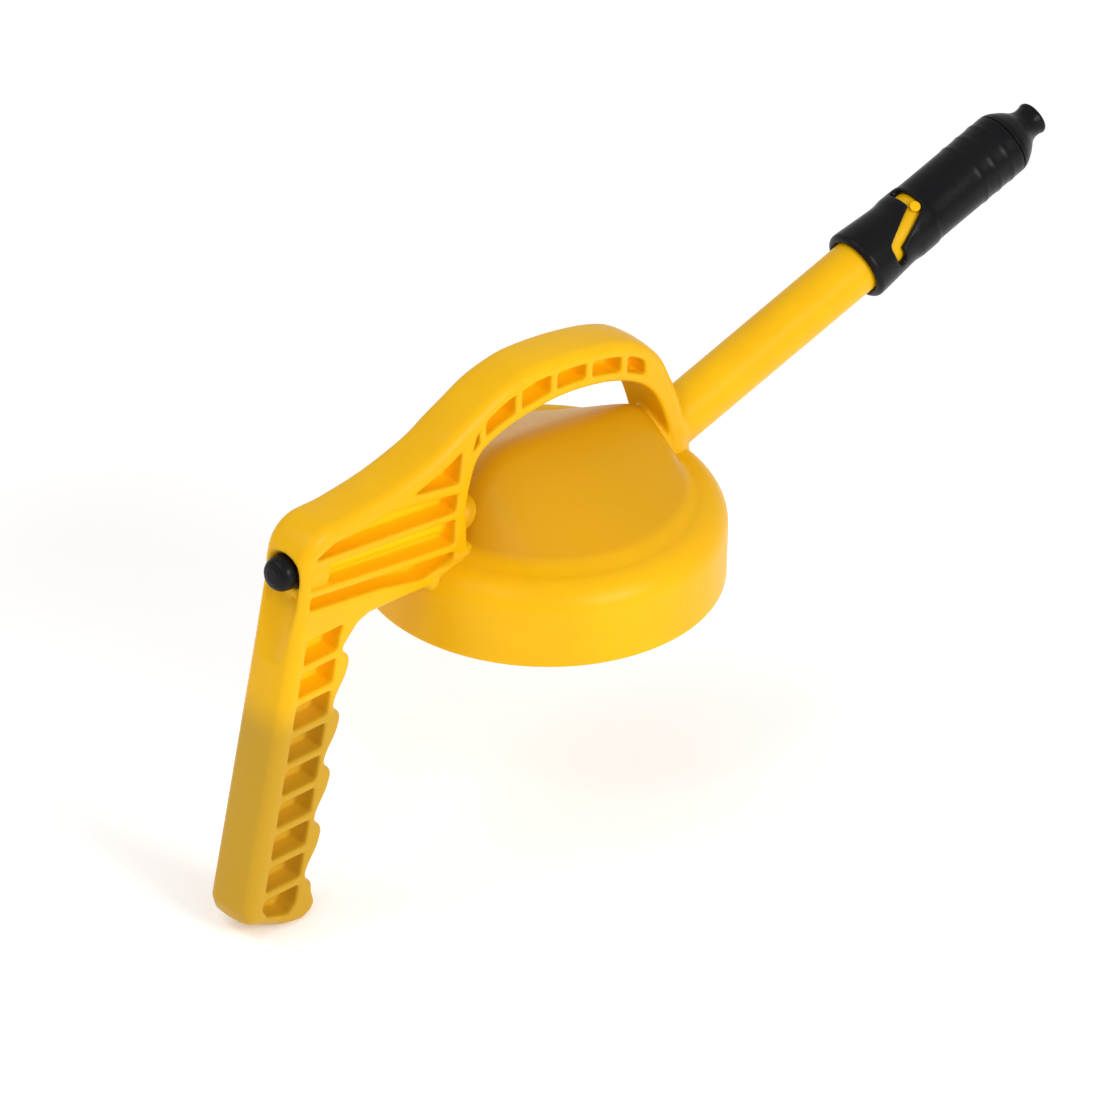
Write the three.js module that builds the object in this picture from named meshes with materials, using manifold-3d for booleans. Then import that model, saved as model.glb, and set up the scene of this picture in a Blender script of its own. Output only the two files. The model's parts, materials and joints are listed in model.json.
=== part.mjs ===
// Screw-on pouring lid for a wide-mouth oil can: a skirted lid with a hopper dome, a carrying
// handle that runs back into a pistol grip, a thumb-operated air vent and a long spout that ends
// in a twist nozzle.
//
// Millimetres. +X points forward along the spout, +Z up, Y across. The origin lies on the lid's
// axis, in the plane of the skirt's bottom rim, where the can's neck enters.

import * as THREE from 'three';
import { mergeVertices } from 'three/addons/utils/BufferGeometryUtils.js';
import Module from 'manifold-3d';

const wasm = await Module();
wasm.setup();

// ---------------------------------------------------------------- driving dimensions

const GAP = 0.3;                 // clearance between neighbouring pieces of one moulding

// lid
const SKIRT_R = 65;              // outer radius of the skirt
const SKIRT_BORE_R = 62;         // inner radius of the skirt
const SHOULDER_Z = 30;           // top of the skirt's rounded edge
const SHOULDER_R = 10.5;         // radius of that rounded edge
const SEAT_Z = 26;               // flat underside that the gasket rests on
const DOME_R = 50;               // radius of the dome's base circle
const DOME_X = 2.5;              // the dome stands forward of the lid's axis
const THROAT_R = 43;             // opening from the can into the dome
const DOME_Z = 31.5;             // height of the dome's base circle
const SEAT_R = 51.5;             // inner edge of the gasket seat
const SHOULDER_TOP_R = 53;       // where the shoulder's slope meets the level under the dome
const LEDGE_Z = 27.5;            // ledge in the shoulder that the spout's root sits on
const LID_WALL = 3;
const LID_SEGMENTS = 48;
const THREAD = { crestR: 59.6, rootR: 62.4, low: 4, pitch: 6.5, turns: 2, half: 1.9 };
const CREST_RISE = 24.4;         // dome crest above its base, at the dome's middle
const REAR_FALL = 0.128;         // fall of the crest for each millimetre forward, behind its middle
const FRONT_FALL = 0.15;         // the same in front of its middle
const RIDGE_ROUND = 0.12;        // roundness of the crest, as a share of the dome's half width

// handle
const HANDLE_WIDTH = 21.5;
const WEB = 4;                   // thickness of the middle web between the side pockets
const RIB = 3;                   // thickness of the cross ribs
const ARCH_FLANGE = 4.2;         // outer flange over the hand hole
const ARM_FLANGE = 6;            // outer flange over the arm
const INNER_FLANGE = 3.4;        // flange along the hand hole
const ARCH_RIB_X = [-40.5, -23.5, -6.5, 10.5, 27.5];
const GRIP_RIB = { top: 29.3, pitch: 12.6, count: 9 };
const SCALLOP = { z: 9.5, pitch: 22, depth: 4.6, count: 5 };
const RAKE = 0.174;              // backward lean of the grip for each millimetre down

// thumb vent: local x runs forward and down along the push rod
const VENT = { x: -126.2, z: 51.4, tilt: 7.5 };
const BUTTON_R = 6.5;
const POCKET_R = 6.9;
const POCKET_FLOOR = 12;
const ROD_R = 2;
const TUNNEL_R = 4.6;            // outer radius of the rod's tunnel through the arm
const TUNNEL_BORE_R = 3;
const VENT_BOSS_R = 7;
const VENT_RING_R = 5;           // outer radius of the vent's seat ring
const SEAT_FACE = 92.5;          // inner face of the dome's vent boss, along the rod

// spout: local x runs along the spout
const SPOUT = { z: 15.6, tilt: 17, start: 45, end: 222 };
const TUBE_R = 9.95;
const TUBE_BORE_R = 7;
const NOZZLE_REAR = 156.3;       // the nozzle's rear rim, along the spout
const NOZZLE_BORE_R = 10.05;
const SLOT = { width: 4.2, near: 12.9, far: 28.7, lock: -21, ramp: 26.8, open: 62.8, end: 83.8 };
const LUG_R = 2;
const TIP_JOINT = 75;            // where the tip is pushed into the sleeve

const YELLOW = { color: 0xf2b316, roughness: 0.4, metalness: 0 };
const BLACK = { color: 0x141416, roughness: 0.45, metalness: 0 };
const RUBBER = { color: 0x1b1b1c, roughness: 0.8, metalness: 0 };
const STEEL = { color: 0xb9bcc0, roughness: 0.3, metalness: 1 };
const BRASS = { color: 0xb8923e, roughness: 0.35, metalness: 1 };

// ---------------------------------------------------------------- solids and meshes

// Closed geometry to manifold: shared corners merged, collapsed triangles dropped, faces outward.
function solid(geometry) {
  const bare = new THREE.BufferGeometry();
  bare.setAttribute('position', geometry.getAttribute('position').clone());
  if (geometry.index) bare.setIndex(geometry.index.clone());
  const merged = mergeVertices(bare, 1e-4);
  const source = merged.index.array;
  const p = merged.getAttribute('position').array;
  const corners = [];
  let volume = 0;
  for (let i = 0; i < source.length; i += 3) {
    const [a, b, c] = [source[i], source[i + 1], source[i + 2]];
    if (a === b || b === c || c === a) continue;
    corners.push([a, b, c]);
    const [va, vb, vc] = [a, b, c].map((k) => new THREE.Vector3().fromArray(p, 3 * k));
    volume += va.dot(vb.cross(vc));
  }
  const triVerts = Uint32Array.from(corners.flatMap(([a, b, c]) => (volume > 0 ? [a, b, c] : [a, c, b])));
  return new wasm.Manifold(new wasm.Mesh({ numProp: 3, vertProperties: Float32Array.from(p), triVerts }));
}

function union(solids) {
  return solids.reduce((sum, next) => sum.add(next));
}

function piece(name, body, look) {
  const mesh = body.getMesh();
  const geometry = new THREE.BufferGeometry();
  geometry.setAttribute('position', new THREE.BufferAttribute(Float32Array.from(mesh.vertProperties), 3));
  geometry.setIndex(Array.from(mesh.triVerts));
  geometry.computeVertexNormals();
  const result = new THREE.Mesh(geometry, new THREE.MeshStandardMaterial({ ...look, flatShading: true }));
  result.name = name;
  return result;
}

// A closed [radius, height] outline turned about +Z.
function turned(profile, segments = 32) {
  const points = [...profile, profile[0]].map(([r, z]) => new THREE.Vector2(r, z));
  return solid(new THREE.LatheGeometry(points, segments).rotateX(Math.PI / 2));
}

// The same outline turned about +X, as [radius, distance].
function turnedAlongX(profile, segments = 32) {
  const points = [...profile, profile[0]].map(([r, x]) => new THREE.Vector2(r, x));
  return solid(new THREE.LatheGeometry(points, segments).rotateZ(-Math.PI / 2));
}

// A ring of rectangular section about +X.
function ringAlongX(inner, outer, from, to, segments = 32) {
  return turnedAlongX([[inner, from], [outer, from], [outer, to], [inner, to]], segments);
}

function rodAlongX(radius, from, to, segments = 24) {
  const rod = new THREE.CylinderGeometry(radius, radius, to - from, segments);
  rod.rotateZ(-Math.PI / 2).translate((from + to) / 2, 0, 0);
  return solid(rod);
}

// A side-view outline in X and Z, given thickness in Y from `near` to `far`.
function plate(outline, near, far) {
  const shape = new THREE.Shape(outline.map(([x, z]) => new THREE.Vector2(x, z)));
  const slab = new THREE.ExtrudeGeometry(shape, { depth: far - near, bevelEnabled: false });
  return solid(slab.rotateX(Math.PI / 2).translate(0, far, 0));
}

// A closed solid through rings that have the same number of points; its ends are flat fans.
function loft(rings) {
  const count = rings[0].length;
  const position = rings.flat(2);
  const index = [];
  for (let k = 0; k + 1 < rings.length; k += 1) {
    for (let j = 0; j < count; j += 1) {
      const a = k * count + j;
      const b = k * count + (j + 1) % count;
      index.push(a, b, b + count, a, b + count, a + count);
    }
  }
  const last = (rings.length - 1) * count;
  for (let j = 1; j + 1 < count; j += 1) {
    index.push(0, j + 1, j);
    index.push(last, last + j, last + j + 1);
  }
  const geometry = new THREE.BufferGeometry();
  geometry.setAttribute('position', new THREE.Float32BufferAttribute(position, 3));
  geometry.setIndex(index);
  return solid(geometry);
}

// A smooth curve through the given [x, z] points.
function smooth(points, steps) {
  const curve = new THREE.SplineCurve(points.map(([x, z]) => new THREE.Vector2(x, z)));
  return curve.getPoints(steps).map((p) => [p.x, p.y]);
}

function arc(x, z, radius, from, to, steps = 6) {
  return Array.from({ length: steps + 1 }, (_, i) => {
    const angle = THREE.MathUtils.degToRad(from + (to - from) * i / steps);
    return [x + radius * Math.cos(angle), z + radius * Math.sin(angle)];
  });
}

function heading(from, to) {
  return new THREE.Vector2(to[0] - from[0], to[1] - from[1]).normalize();
}

// The line moved sideways by `distance`, to the left of its direction, with mitred corners.
function offset(line, distance) {
  const last = line.length - 1;
  return line.map(([x, z], i) => {
    const arriving = i > 0 ? heading(line[i - 1], line[i]) : heading(line[0], line[1]);
    const leaving = i < last ? heading(line[i], line[i + 1]) : arriving;
    const middle = arriving.clone().add(leaving).normalize();
    const reach = distance / middle.dot(arriving);
    return [x - middle.y * reach, z + middle.x * reach];
  });
}

// ---------------------------------------------------------------- lid

// Height of the dome's outer surface over (x, y): a sloping crest with a tent-like fall to the sides.
// It is measured from the dome's own middle; the crest drops softly at the rear, steeply in front.
function domeHeight(x, y) {
  const share = Math.min(Math.abs(x) / DOME_R, 1);
  const taper = x < 0 ? (1 - share ** 4) ** 1.2 : (1 - share ** 14) ** 0.9;
  const crest = (CREST_RISE - (x < 0 ? REAR_FALL : FRONT_FALL) * x) * taper;
  const half = Math.sqrt(Math.max(DOME_R ** 2 - x ** 2, 1e-6));
  const across = Math.min(Math.abs(y) / half, 1);
  const bend = (u) => Math.sqrt(u ** 2 + RIDGE_ROUND ** 2) - RIDGE_ROUND;
  return DOME_Z + crest * (1 - bend(across) / bend(1));
}

// The space under the dome's surface, drawn in by `inset` and taken down to `floor`.
function domeSolid(inset, floor) {
  const reach = [1, 0.94, 0.84, 0.7, 0.54, 0.36, 0.18];
  const scale = (DOME_R - inset) / DOME_R;
  const ring = (share, height) => Array.from({ length: LID_SEGMENTS }, (_, j) => {
    const angle = 2 * Math.PI * j / LID_SEGMENTS;
    const x = DOME_R * share * Math.cos(angle);
    const y = DOME_R * share * Math.sin(angle);
    return [x * scale, y * scale, height(x, y)];
  });
  const rings = [ring(1, () => floor)];
  for (const share of reach) rings.push(ring(share, (x, y) => domeHeight(x, y) - inset));
  rings.push(ring(0, () => domeHeight(0, 0) - inset));
  return loft(rings).translate([DOME_X, 0, 0]);
}

const edgeCentre = [SKIRT_R - SHOULDER_R, SHOULDER_Z - SHOULDER_R];

function lidCap() {
  const shell = turned([
    [SKIRT_BORE_R, 0], [SKIRT_R, 0],
    ...arc(...edgeCentre, SHOULDER_R, 0, 90),
    [SHOULDER_TOP_R, DOME_Z - GAP], [THROAT_R, DOME_Z - GAP], [THROAT_R, DOME_Z - GAP - LID_WALL],
    [SEAT_R - 4, DOME_Z - GAP - LID_WALL], [SEAT_R - 4, SEAT_Z - 3], [SEAT_R, SEAT_Z - 3],
    [SEAT_R, SEAT_Z], [SKIRT_BORE_R, SEAT_Z],
  ], LID_SEGMENTS);
  const steps = THREAD.turns * 30;
  const rings = Array.from({ length: steps + 1 }, (_, i) => {
    const angle = 2 * Math.PI * THREAD.turns * i / steps;
    const middle = THREAD.low + THREAD.pitch * THREAD.turns * i / steps + THREAD.half;
    const fade = Math.min(i / 4, (steps - i) / 4, 1);
    const crest = THREAD.rootR - 0.5 + (THREAD.crestR - THREAD.rootR + 0.5) * fade;
    const section = [[THREAD.rootR, -THREAD.half], [crest, -0.7], [crest, 0.7], [THREAD.rootR, THREAD.half]];
    return section.map(([r, dz]) => [r * Math.cos(angle), r * Math.sin(angle), middle + dz]);
  });
  // The spout's root is let into the shoulder, down to a ledge above the gasket seat.
  const ledge = plate([[30, LEDGE_Z], [70, LEDGE_Z], [70, 60], [30, 60]], -20, 20);
  return shell.add(loft(rings)).subtract(spoutHole().intersect(ledge));
}

function alongRod(body) {
  return body.rotate([0, VENT.tilt, 0]).translate([VENT.x, 0, VENT.z]);
}

function alongSpout(body) {
  return body.rotate([0, -SPOUT.tilt, 0]).translate([0, 0, SPOUT.z]);
}

function ventBoss(grow) {
  const neck = rodAlongX(TUNNEL_R + grow, SEAT_FACE - 13, SEAT_FACE - 5);
  return alongRod(neck.add(rodAlongX(VENT_BOSS_R, SEAT_FACE - 5, SEAT_FACE)));
}

function spoutHole() {
  return alongSpout(rodAlongX(TUBE_R + GAP, 20, 105, 32));
}

function hopperDome() {
  const boss = ventBoss(0);
  const bossBore = alongRod(rodAlongX(TUNNEL_BORE_R, SEAT_FACE - 20, SEAT_FACE + 2));
  const seatPocket = alongRod(rodAlongX(VENT_RING_R + 0.1, SEAT_FACE - 4, SEAT_FACE + 2));
  const legRoom = plate([[-80, 20], [-46.2, 20], [-46.2, 70], [-80, 70]], -40, 40);
  const shell = domeSolid(0, DOME_Z).subtract(domeSolid(LID_WALL, DOME_Z - 5));
  return union([shell, boss.subtract(legRoom)]).subtract(union([bossBore, seatPocket, spoutHole()]));
}

// Everything that the handle's feet stand on, grown by the clearance.
function lidFootprint() {
  const reach = GAP + 0.1;
  const skirt = turned([
    [0, -5], [SKIRT_R + reach, -5],
    ...arc(...edgeCentre, SHOULDER_R + reach, 0, 90),
    [SHOULDER_TOP_R, DOME_Z + reach], [0, DOME_Z + reach],
  ], LID_SEGMENTS);
  const legFace = plate([[-46.2, 20], [0, 20], [0, 70], [-46.2, 70]], -40, 40);
  const boss = ventBoss(GAP).intersect(legFace);
  return union([skirt, domeSolid(0, DOME_Z - 5).translate([0, 0, reach]), boss]);
}

// ---------------------------------------------------------------- handle

const outerEdge = smooth([
  [61, 33], [58.6, 43], [55.7, 52], [51.6, 61.2], [46.6, 71], [37.4, 80.2], [25.6, 85.8], [7, 90.2],
  [-12, 92.4], [-23, 91.6], [-33, 89.2], [-42, 85], [-51, 80.8], [-61, 75.8], [-80, 70.6], [-100, 68.1],
  [-111, 68.1],
], 48);
const rearCorner = arc(-112.2, 55.1, 13, 90, 180, 6);
const rearEdge = [...rearCorner, [-126, 46], [-129.6, 24], [-147.8, -78], [-146.2, -82.6], [-131, -88.8]];

const innerEdge = smooth([
  [-46.4, 28], [-47.2, 40], [-47.6, 50], [-46.2, 59], [-42.5, 68.6], [-35, 73.2], [-22, 76.2], [-6, 77.4],
  [8, 76], [22, 72.6], [34, 67], [41.4, 60.6], [45.8, 53.4], [49, 45], [51.6, 37], [53, 30],
], 40);

function frontOfGrip(z) {
  return -102 + (z - SCALLOP.z) * RAKE;
}

// Finger scallops from the top down: a short step out to each bump and a long run back.
function scallops() {
  const points = [];
  for (let k = 0; k < SCALLOP.count; k += 1) {
    const bump = SCALLOP.z - k * SCALLOP.pitch;
    const share = [[7, 0.95], [4.5, 0.7], [2, 0.12], [-1, 0], [-6, 0.2], [-11, 0.72]];
    for (const [up, depth] of share) points.push([frontOfGrip(bump) + up * RAKE - SCALLOP.depth * depth, bump + up]);
  }
  return points.slice(0, -2);
}

const crotch = [[-66, 24.2], [-80, 25], [-93, 25.4], [-98.5, 23.6], [-101.5, 20.5]];
const gripBottom = [[-115.8, -85.4], [-118, -88.4], [-122, -90.2]];
const handleOutline = [
  ...outerEdge, ...rearEdge, ...gripBottom.reverse(), ...scallops().reverse(), ...crotch.reverse(),
  [-62, 24.2], [-62, 28], ...innerEdge.slice(1),
];

function bar(x0, z0, x1, z1, thickness) {
  const line = [[x0, z0], [x1, z1]];
  return plate([...offset(line, thickness / 2), ...offset(line, -thickness / 2).reverse()], -20, 20);
}

// The hollow regions of the handle's side view, before the ribs cross them.
function pocketRegions() {
  const archTop = offset(outerEdge.slice(12, 35), ARCH_FLANGE);
  const archFoot = offset(innerEdge.slice(13, 30), INNER_FLANGE);
  const armTop = offset(outerEdge.slice(37), ARM_FLANGE);
  const arch = [...archTop, ...archFoot];
  const arm = [
    ...armTop, [-121.5, 58], [-122.5, 38.5], [-89, 33.6], [-68, 28.6], [-53, 31], [-52.6, 50], [-51.4, 61],
  ];
  const top = GRIP_RIB.top;
  const rear = (z) => -129.8 + (z - top) * RAKE + 7.2;
  const front = (z) => frontOfGrip(z) - SCALLOP.depth - 3;
  const grip = [
    [rear(top), top], [rear(-78), -78], [rear(-81) + 3, -82], [front(-83) - 3, -85], [front(-81), -81.5],
    [front(14), 14], [-107.5, 22], [-104, top],
  ];
  return [arch, arm, grip];
}

function ribs() {
  const list = ARCH_RIB_X.map((x) => bar(x, 60, x, 100, RIB));
  list.push(bar(-90, 66.8, -48, 58.6, 4));
  list.push(bar(-125, 57.1, -48, 48, RIB));
  list.push(bar(-125, 45.6, -48, 34.6, RIB));
  for (let k = 0; k < GRIP_RIB.count; k += 1) {
    const z = GRIP_RIB.top - k * GRIP_RIB.pitch - RIB / 2;
    list.push(bar(-150, z, -95, z, RIB));
  }
  return union(list);
}

function wholeHandle() {
  const half = HANDLE_WIDTH / 2;
  const hollow = union(pocketRegions().map((region) => plate(region, WEB / 2, half + 5))).subtract(ribs());
  const bulk = plate(handleOutline, -half, half);
  const tunnel = alongRod(rodAlongX(TUNNEL_R, 4, 82, 16));
  const pocketBoss = alongRod(rodAlongX(POCKET_R + 2.4, 0, POCKET_FLOOR + 2.5, 24));
  const body = bulk.subtract(hollow).subtract(hollow.mirror([0, 1, 0]));
  const filled = body.add(tunnel.add(pocketBoss).intersect(bulk));
  const scoop = plate([[-140, 61], [-124.6, 58.8], [-121.8, 52], [-123.5, 40], [-131.2, 22], [-140, 22]], -7.6, 7.6);
  const buttonPocket = alongRod(rodAlongX(POCKET_R, -20, POCKET_FLOOR, 24));
  const rodBore = alongRod(rodAlongX(TUNNEL_BORE_R, 0, 90, 16));
  return filled.subtract(union([scoop, buttonPocket, rodBore, spoutHole(), lidFootprint()]));
}

// The handle is one moulding; it is parted here into arch, arm and grip.
const handle = wholeHandle();

function archPart() {
  return handle.intersect(plate([[-38, 66], [-38, 100], [90, 100], [90, 36], [20, 36], [20, 66]], -30, 30));
}

function armPart() {
  const x = -38 - GAP;
  const region = [[x, 100], [x, 20], [-90, 20], [-90, 24.6], [-135, 30.8], [-160, 34.2], [-160, 100]];
  return handle.intersect(plate(region, -30, 30));
}

function gripPart() {
  const region = [[-90, 24.6], [-135, 30.8], [-160, 34.2], [-160, -100], [-90, -100]];
  return handle.intersect(plate(region.map(([x, z]) => [x, z - GAP]), -30, 30));
}

// ---------------------------------------------------------------- seals of the lid

function neckGasket() {
  const inner = SEAT_R + 0.5;
  const outer = SKIRT_BORE_R - 0.3;
  return turned([[inner, 23.4], [outer, 23.4], [outer, SEAT_Z - 0.1], [inner, SEAT_Z - 0.1]], LID_SEGMENTS);
}

// ---------------------------------------------------------------- spout and nozzle

// A small stud standing out from the spout at the given distance and turn from the top.
function lug(distance, turn) {
  const stud = new THREE.CylinderGeometry(LUG_R, LUG_R, 2.2, 12).translate(0, TUBE_R + 0.6, 0);
  return solid(stud.rotateX(THREE.MathUtils.degToRad(90 + turn)).translate(distance, 0, 0));
}

function spoutTube() {
  const groove = NOZZLE_REAR + 50;
  const wall = turnedAlongX([
    [TUBE_BORE_R, SPOUT.start], [TUBE_R, SPOUT.start],
    [TUBE_R, groove], [8.4, groove], [8.4, groove + 3], [TUBE_R, groove + 3],
    [TUBE_R, SPOUT.end - 1], [TUBE_R - 1, SPOUT.end], [TUBE_BORE_R, SPOUT.end],
  ]);
  const lugs = [0, 180].map((half) => lug(NOZZLE_REAR + SLOT.far, SLOT.ramp + half));
  const low = LEDGE_Z + GAP;
  const lidRoom = plate([[20, 0], [SKIRT_R + GAP, 0], [SKIRT_R + GAP, low], [20, low]], -20, 20);
  return alongSpout(union([wall, ...lugs])).subtract(lidRoom);
}

function valvePlug() {
  const ring = ringAlongX(5.3, TUBE_BORE_R - 0.15, 208, 218, 24);
  const stem = turnedAlongX([
    [0, 209], [2.5, 210], [2.5, 236], [4, 238], [4, 239], [3.1, 239], [3.1, 241.5], [4, 241.5],
    [4, 242.4], [2.4, 244], [0, 244.6],
  ], 24);
  const spokes = [0, 1, 2].map((k) => {
    const spoke = new THREE.BoxGeometry(7, 1.6, 4.4).translate(213, 0, 3.8);
    return solid(spoke.rotateX(k * 2 * Math.PI / 3));
  });
  return alongSpout(union([ring, stem, ...spokes]));
}

function sealRing(inner, outer, from, to) {
  const r = (inner + outer) / 2;
  const x = (from + to) / 2;
  const section = arc(r, x, 1, 0, 315, 7).map(([a, b]) => [
    r + (a - r) * (outer - inner) / 2,
    x + (b - x) * (to - from) / 2,
  ]);
  return alongSpout(turnedAlongX(section, 24));
}

// The slot's middle line on the sleeve, as [turn in degrees, distance from the rear rim].
function slotLine() {
  const line = [];
  for (let turn = SLOT.lock; turn < SLOT.ramp; turn += 8) line.push([turn, SLOT.far]);
  for (let i = 0; i <= 6; i += 1) {
    const share = i / 6;
    const turn = SLOT.ramp + (SLOT.open - SLOT.ramp) * share;
    line.push([turn, SLOT.far + (SLOT.near - SLOT.far) * share]);
  }
  for (let turn = SLOT.open + 7; turn <= SLOT.end; turn += 7) line.push([turn, SLOT.near]);
  return line;
}

function camSlot(half) {
  const reach = 24;
  const flat = slotLine().map(([turn, along]) => [THREE.MathUtils.degToRad(turn) * TUBE_R, along]);
  const sides = [...offset(flat, SLOT.width / 2), ...offset(flat, -SLOT.width / 2).reverse()];
  const shape = new THREE.Shape(sides.map(([a, b]) => new THREE.Vector2(a, b)));
  const strip = new THREE.ExtrudeGeometry(shape, { depth: reach - 8, bevelEnabled: false });
  const p = strip.getAttribute('position');
  for (let i = 0; i < p.count; i += 1) {
    const turn = p.getX(i) / TUBE_R + THREE.MathUtils.degToRad(half);
    const r = 8 + p.getZ(i);
    p.setXYZ(i, NOZZLE_REAR + p.getY(i), -r * Math.sin(turn), r * Math.cos(turn));
  }
  return solid(strip);
}

function nozzleSleeve() {
  const rings = [56, 62.5, 69].flatMap((u) => [[11.95, u - 1.3], [12.25, u - 0.5], [12.25, u + 0.5], [11.95, u + 1.3]]);
  const outer = [
    [11.9, 0], [13.3, 1.4], [13.3, 3.6], [12.2, 19], [12.1, 22], [12.5, 24.5], [12.4, 31], [11.95, 34],
    ...rings, [11.95, TIP_JOINT],
  ];
  const inner = [
    [NOZZLE_BORE_R, TIP_JOINT], [NOZZLE_BORE_R, 5.6], [11.2, 5.6], [11.2, 3], [NOZZLE_BORE_R, 3],
    [NOZZLE_BORE_R, 1], [10.6, 0],
  ];
  const profile = [...outer, ...inner].map(([r, u]) => [r, u + NOZZLE_REAR]);
  const slots = [0, 180].map(camSlot);
  return alongSpout(turnedAlongX(profile).subtract(union(slots)));
}

function nozzleTip() {
  const joint = TIP_JOINT + 0.05;
  const profile = [
    [11.95, joint], [11.5, 77.2], [9.4, 80.8], [6.8, 84], [5.8, 86.4], [5.8, 88.8], [6.3, 90.4], [5.9, 91.4],
    [4.3, 91.4], [4.3, 79.4], [8.2, 74], [8.2, 67.5], [9.95, 67.5], [9.95, joint],
  ];
  return alongSpout(turnedAlongX(profile.map(([r, u]) => [r, u + NOZZLE_REAR])));
}

function sleeveWiper() {
  return alongSpout(ringAlongX(TUBE_R + 0.05, 11.1, NOZZLE_REAR + 3.05, NOZZLE_REAR + 5.55));
}

// ---------------------------------------------------------------- thumb vent

function thumbButton() {
  const profile = [
    [0, -5.2], [3.2, -4.9], [5.2, -4], [6.2, -2.4], [BUTTON_R, -0.4], [BUTTON_R, 6], [4.9, 6], [4.9, 1],
    [ROD_R + 0.1, 1], [ROD_R + 0.1, -1], [0, -1],
  ];
  return alongRod(turnedAlongX(profile, 24));
}

function buttonSpring() {
  const [from, to, turns, wire, coil] = [1.6, 10.2, 4, 0.42, 3.6];
  const steps = turns * 12;
  const rings = Array.from({ length: steps + 1 }, (_, i) => {
    const angle = 2 * Math.PI * turns * i / steps;
    const x = from + (to - from) * i / steps;
    return Array.from({ length: 6 }, (_, j) => {
      const around = Math.PI * j / 3;
      const r = coil + wire * Math.cos(around);
      return [x + wire * Math.sin(around), r * Math.cos(angle), r * Math.sin(angle)];
    });
  });
  return alongRod(loft(rings));
}

function ventRod() {
  const profile = [
    [0, -0.9], [ROD_R, -0.9], [ROD_R, 98.7], [1.5, 98.7], [1.5, 99.5], [ROD_R, 99.5], [ROD_R, 100.2],
    [1.4, 100.8], [0, 100.8],
  ];
  return alongRod(turnedAlongX(profile, 16));
}

function rodGuide() {
  const floor = POCKET_FLOOR - 0.1;
  const bush = turnedAlongX([
    [ROD_R + 0.06, floor - 1.2], [4.7, floor - 1.2], [4.7, floor], [TUNNEL_BORE_R - 0.1, floor],
    [TUNNEL_BORE_R - 0.1, floor + 7], [ROD_R + 0.06, floor + 7],
  ], 16);
  const flutes = [0, 1, 2].map((k) => {
    const turn = k * 2 * Math.PI / 3;
    return rodAlongX(0.7, floor - 2, floor + 8, 8).translate([0, 3 * Math.cos(turn), 3 * Math.sin(turn)]);
  });
  return alongRod(bush.subtract(union(flutes)));
}

function ventSeatRing() {
  return alongRod(ringAlongX(3.3, VENT_RING_R, SEAT_FACE - 3.9, SEAT_FACE + 0.7, 24));
}

function ventValveSeal() {
  return alongRod(ringAlongX(ROD_R + 0.06, 5.8, SEAT_FACE + 0.75, SEAT_FACE + 2.1, 16));
}

function ventValveHead() {
  const back = SEAT_FACE + 2.1;
  const profile = [
    [ROD_R + 0.06, back], [6.2, back], [6.2, back + 1.6], [5.4, back + 2.4], [3.4, back + 2.4],
    [3.4, back + 4], [ROD_R + 0.06, back + 4],
  ];
  return alongRod(turnedAlongX(profile, 16));
}

function rodClip() {
  const ring = ringAlongX(1.55, 3.6, 98.75, 99.4, 16);
  const mouth = new THREE.BoxGeometry(3, 2.2, 5).translate(99, 0, -3.4);
  return alongRod(ring.subtract(solid(mouth)));
}

// ---------------------------------------------------------------- assembly

const part = new THREE.Group();
part.add(
  piece('lid_cap', lidCap(), YELLOW),
  piece('hopper_dome', hopperDome(), YELLOW),
  piece('neck_gasket', neckGasket(), RUBBER),
  piece('handle_arch', archPart(), YELLOW),
  piece('handle_arm', armPart(), YELLOW),
  piece('grip', gripPart(), YELLOW),
  piece('spout_tube', spoutTube(), YELLOW),
  piece('valve_plug', valvePlug(), BLACK),
  piece('plug_seal', sealRing(3.15, 4.25, 239.05, 241.45), RUBBER),
  piece('spout_seal', sealRing(8.45, 10, NOZZLE_REAR + 50.1, NOZZLE_REAR + 52.9), RUBBER),
  piece('sleeve_wiper', sleeveWiper(), RUBBER),
  piece('nozzle_sleeve', nozzleSleeve(), BLACK),
  piece('nozzle_tip', nozzleTip(), BLACK),
  piece('thumb_button', thumbButton(), BLACK),
  piece('button_spring', buttonSpring(), STEEL),
  piece('vent_rod', ventRod(), STEEL),
  piece('rod_guide', rodGuide(), BLACK),
  piece('vent_seat_ring', ventSeatRing(), BRASS),
  piece('vent_valve_seal', ventValveSeal(), RUBBER),
  piece('vent_valve_head', ventValveHead(), BRASS),
  piece('rod_clip', rodClip(), STEEL),
);

export default part;
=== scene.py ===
# %% [markdown]
# # A screw-on pouring lid with a grip and a twist nozzle
#
# The real object is a golden polyethylene moulding that screws onto a wide-mouth oil can. A hopper
# dome feeds a long spout, a pistol grip carries a thumb vent, and a black nozzle twists open at the
# end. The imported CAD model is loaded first. It fixes every place, size and joint, and the looks are
# built around it.

# %% Load the frame
import json
import math

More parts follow.
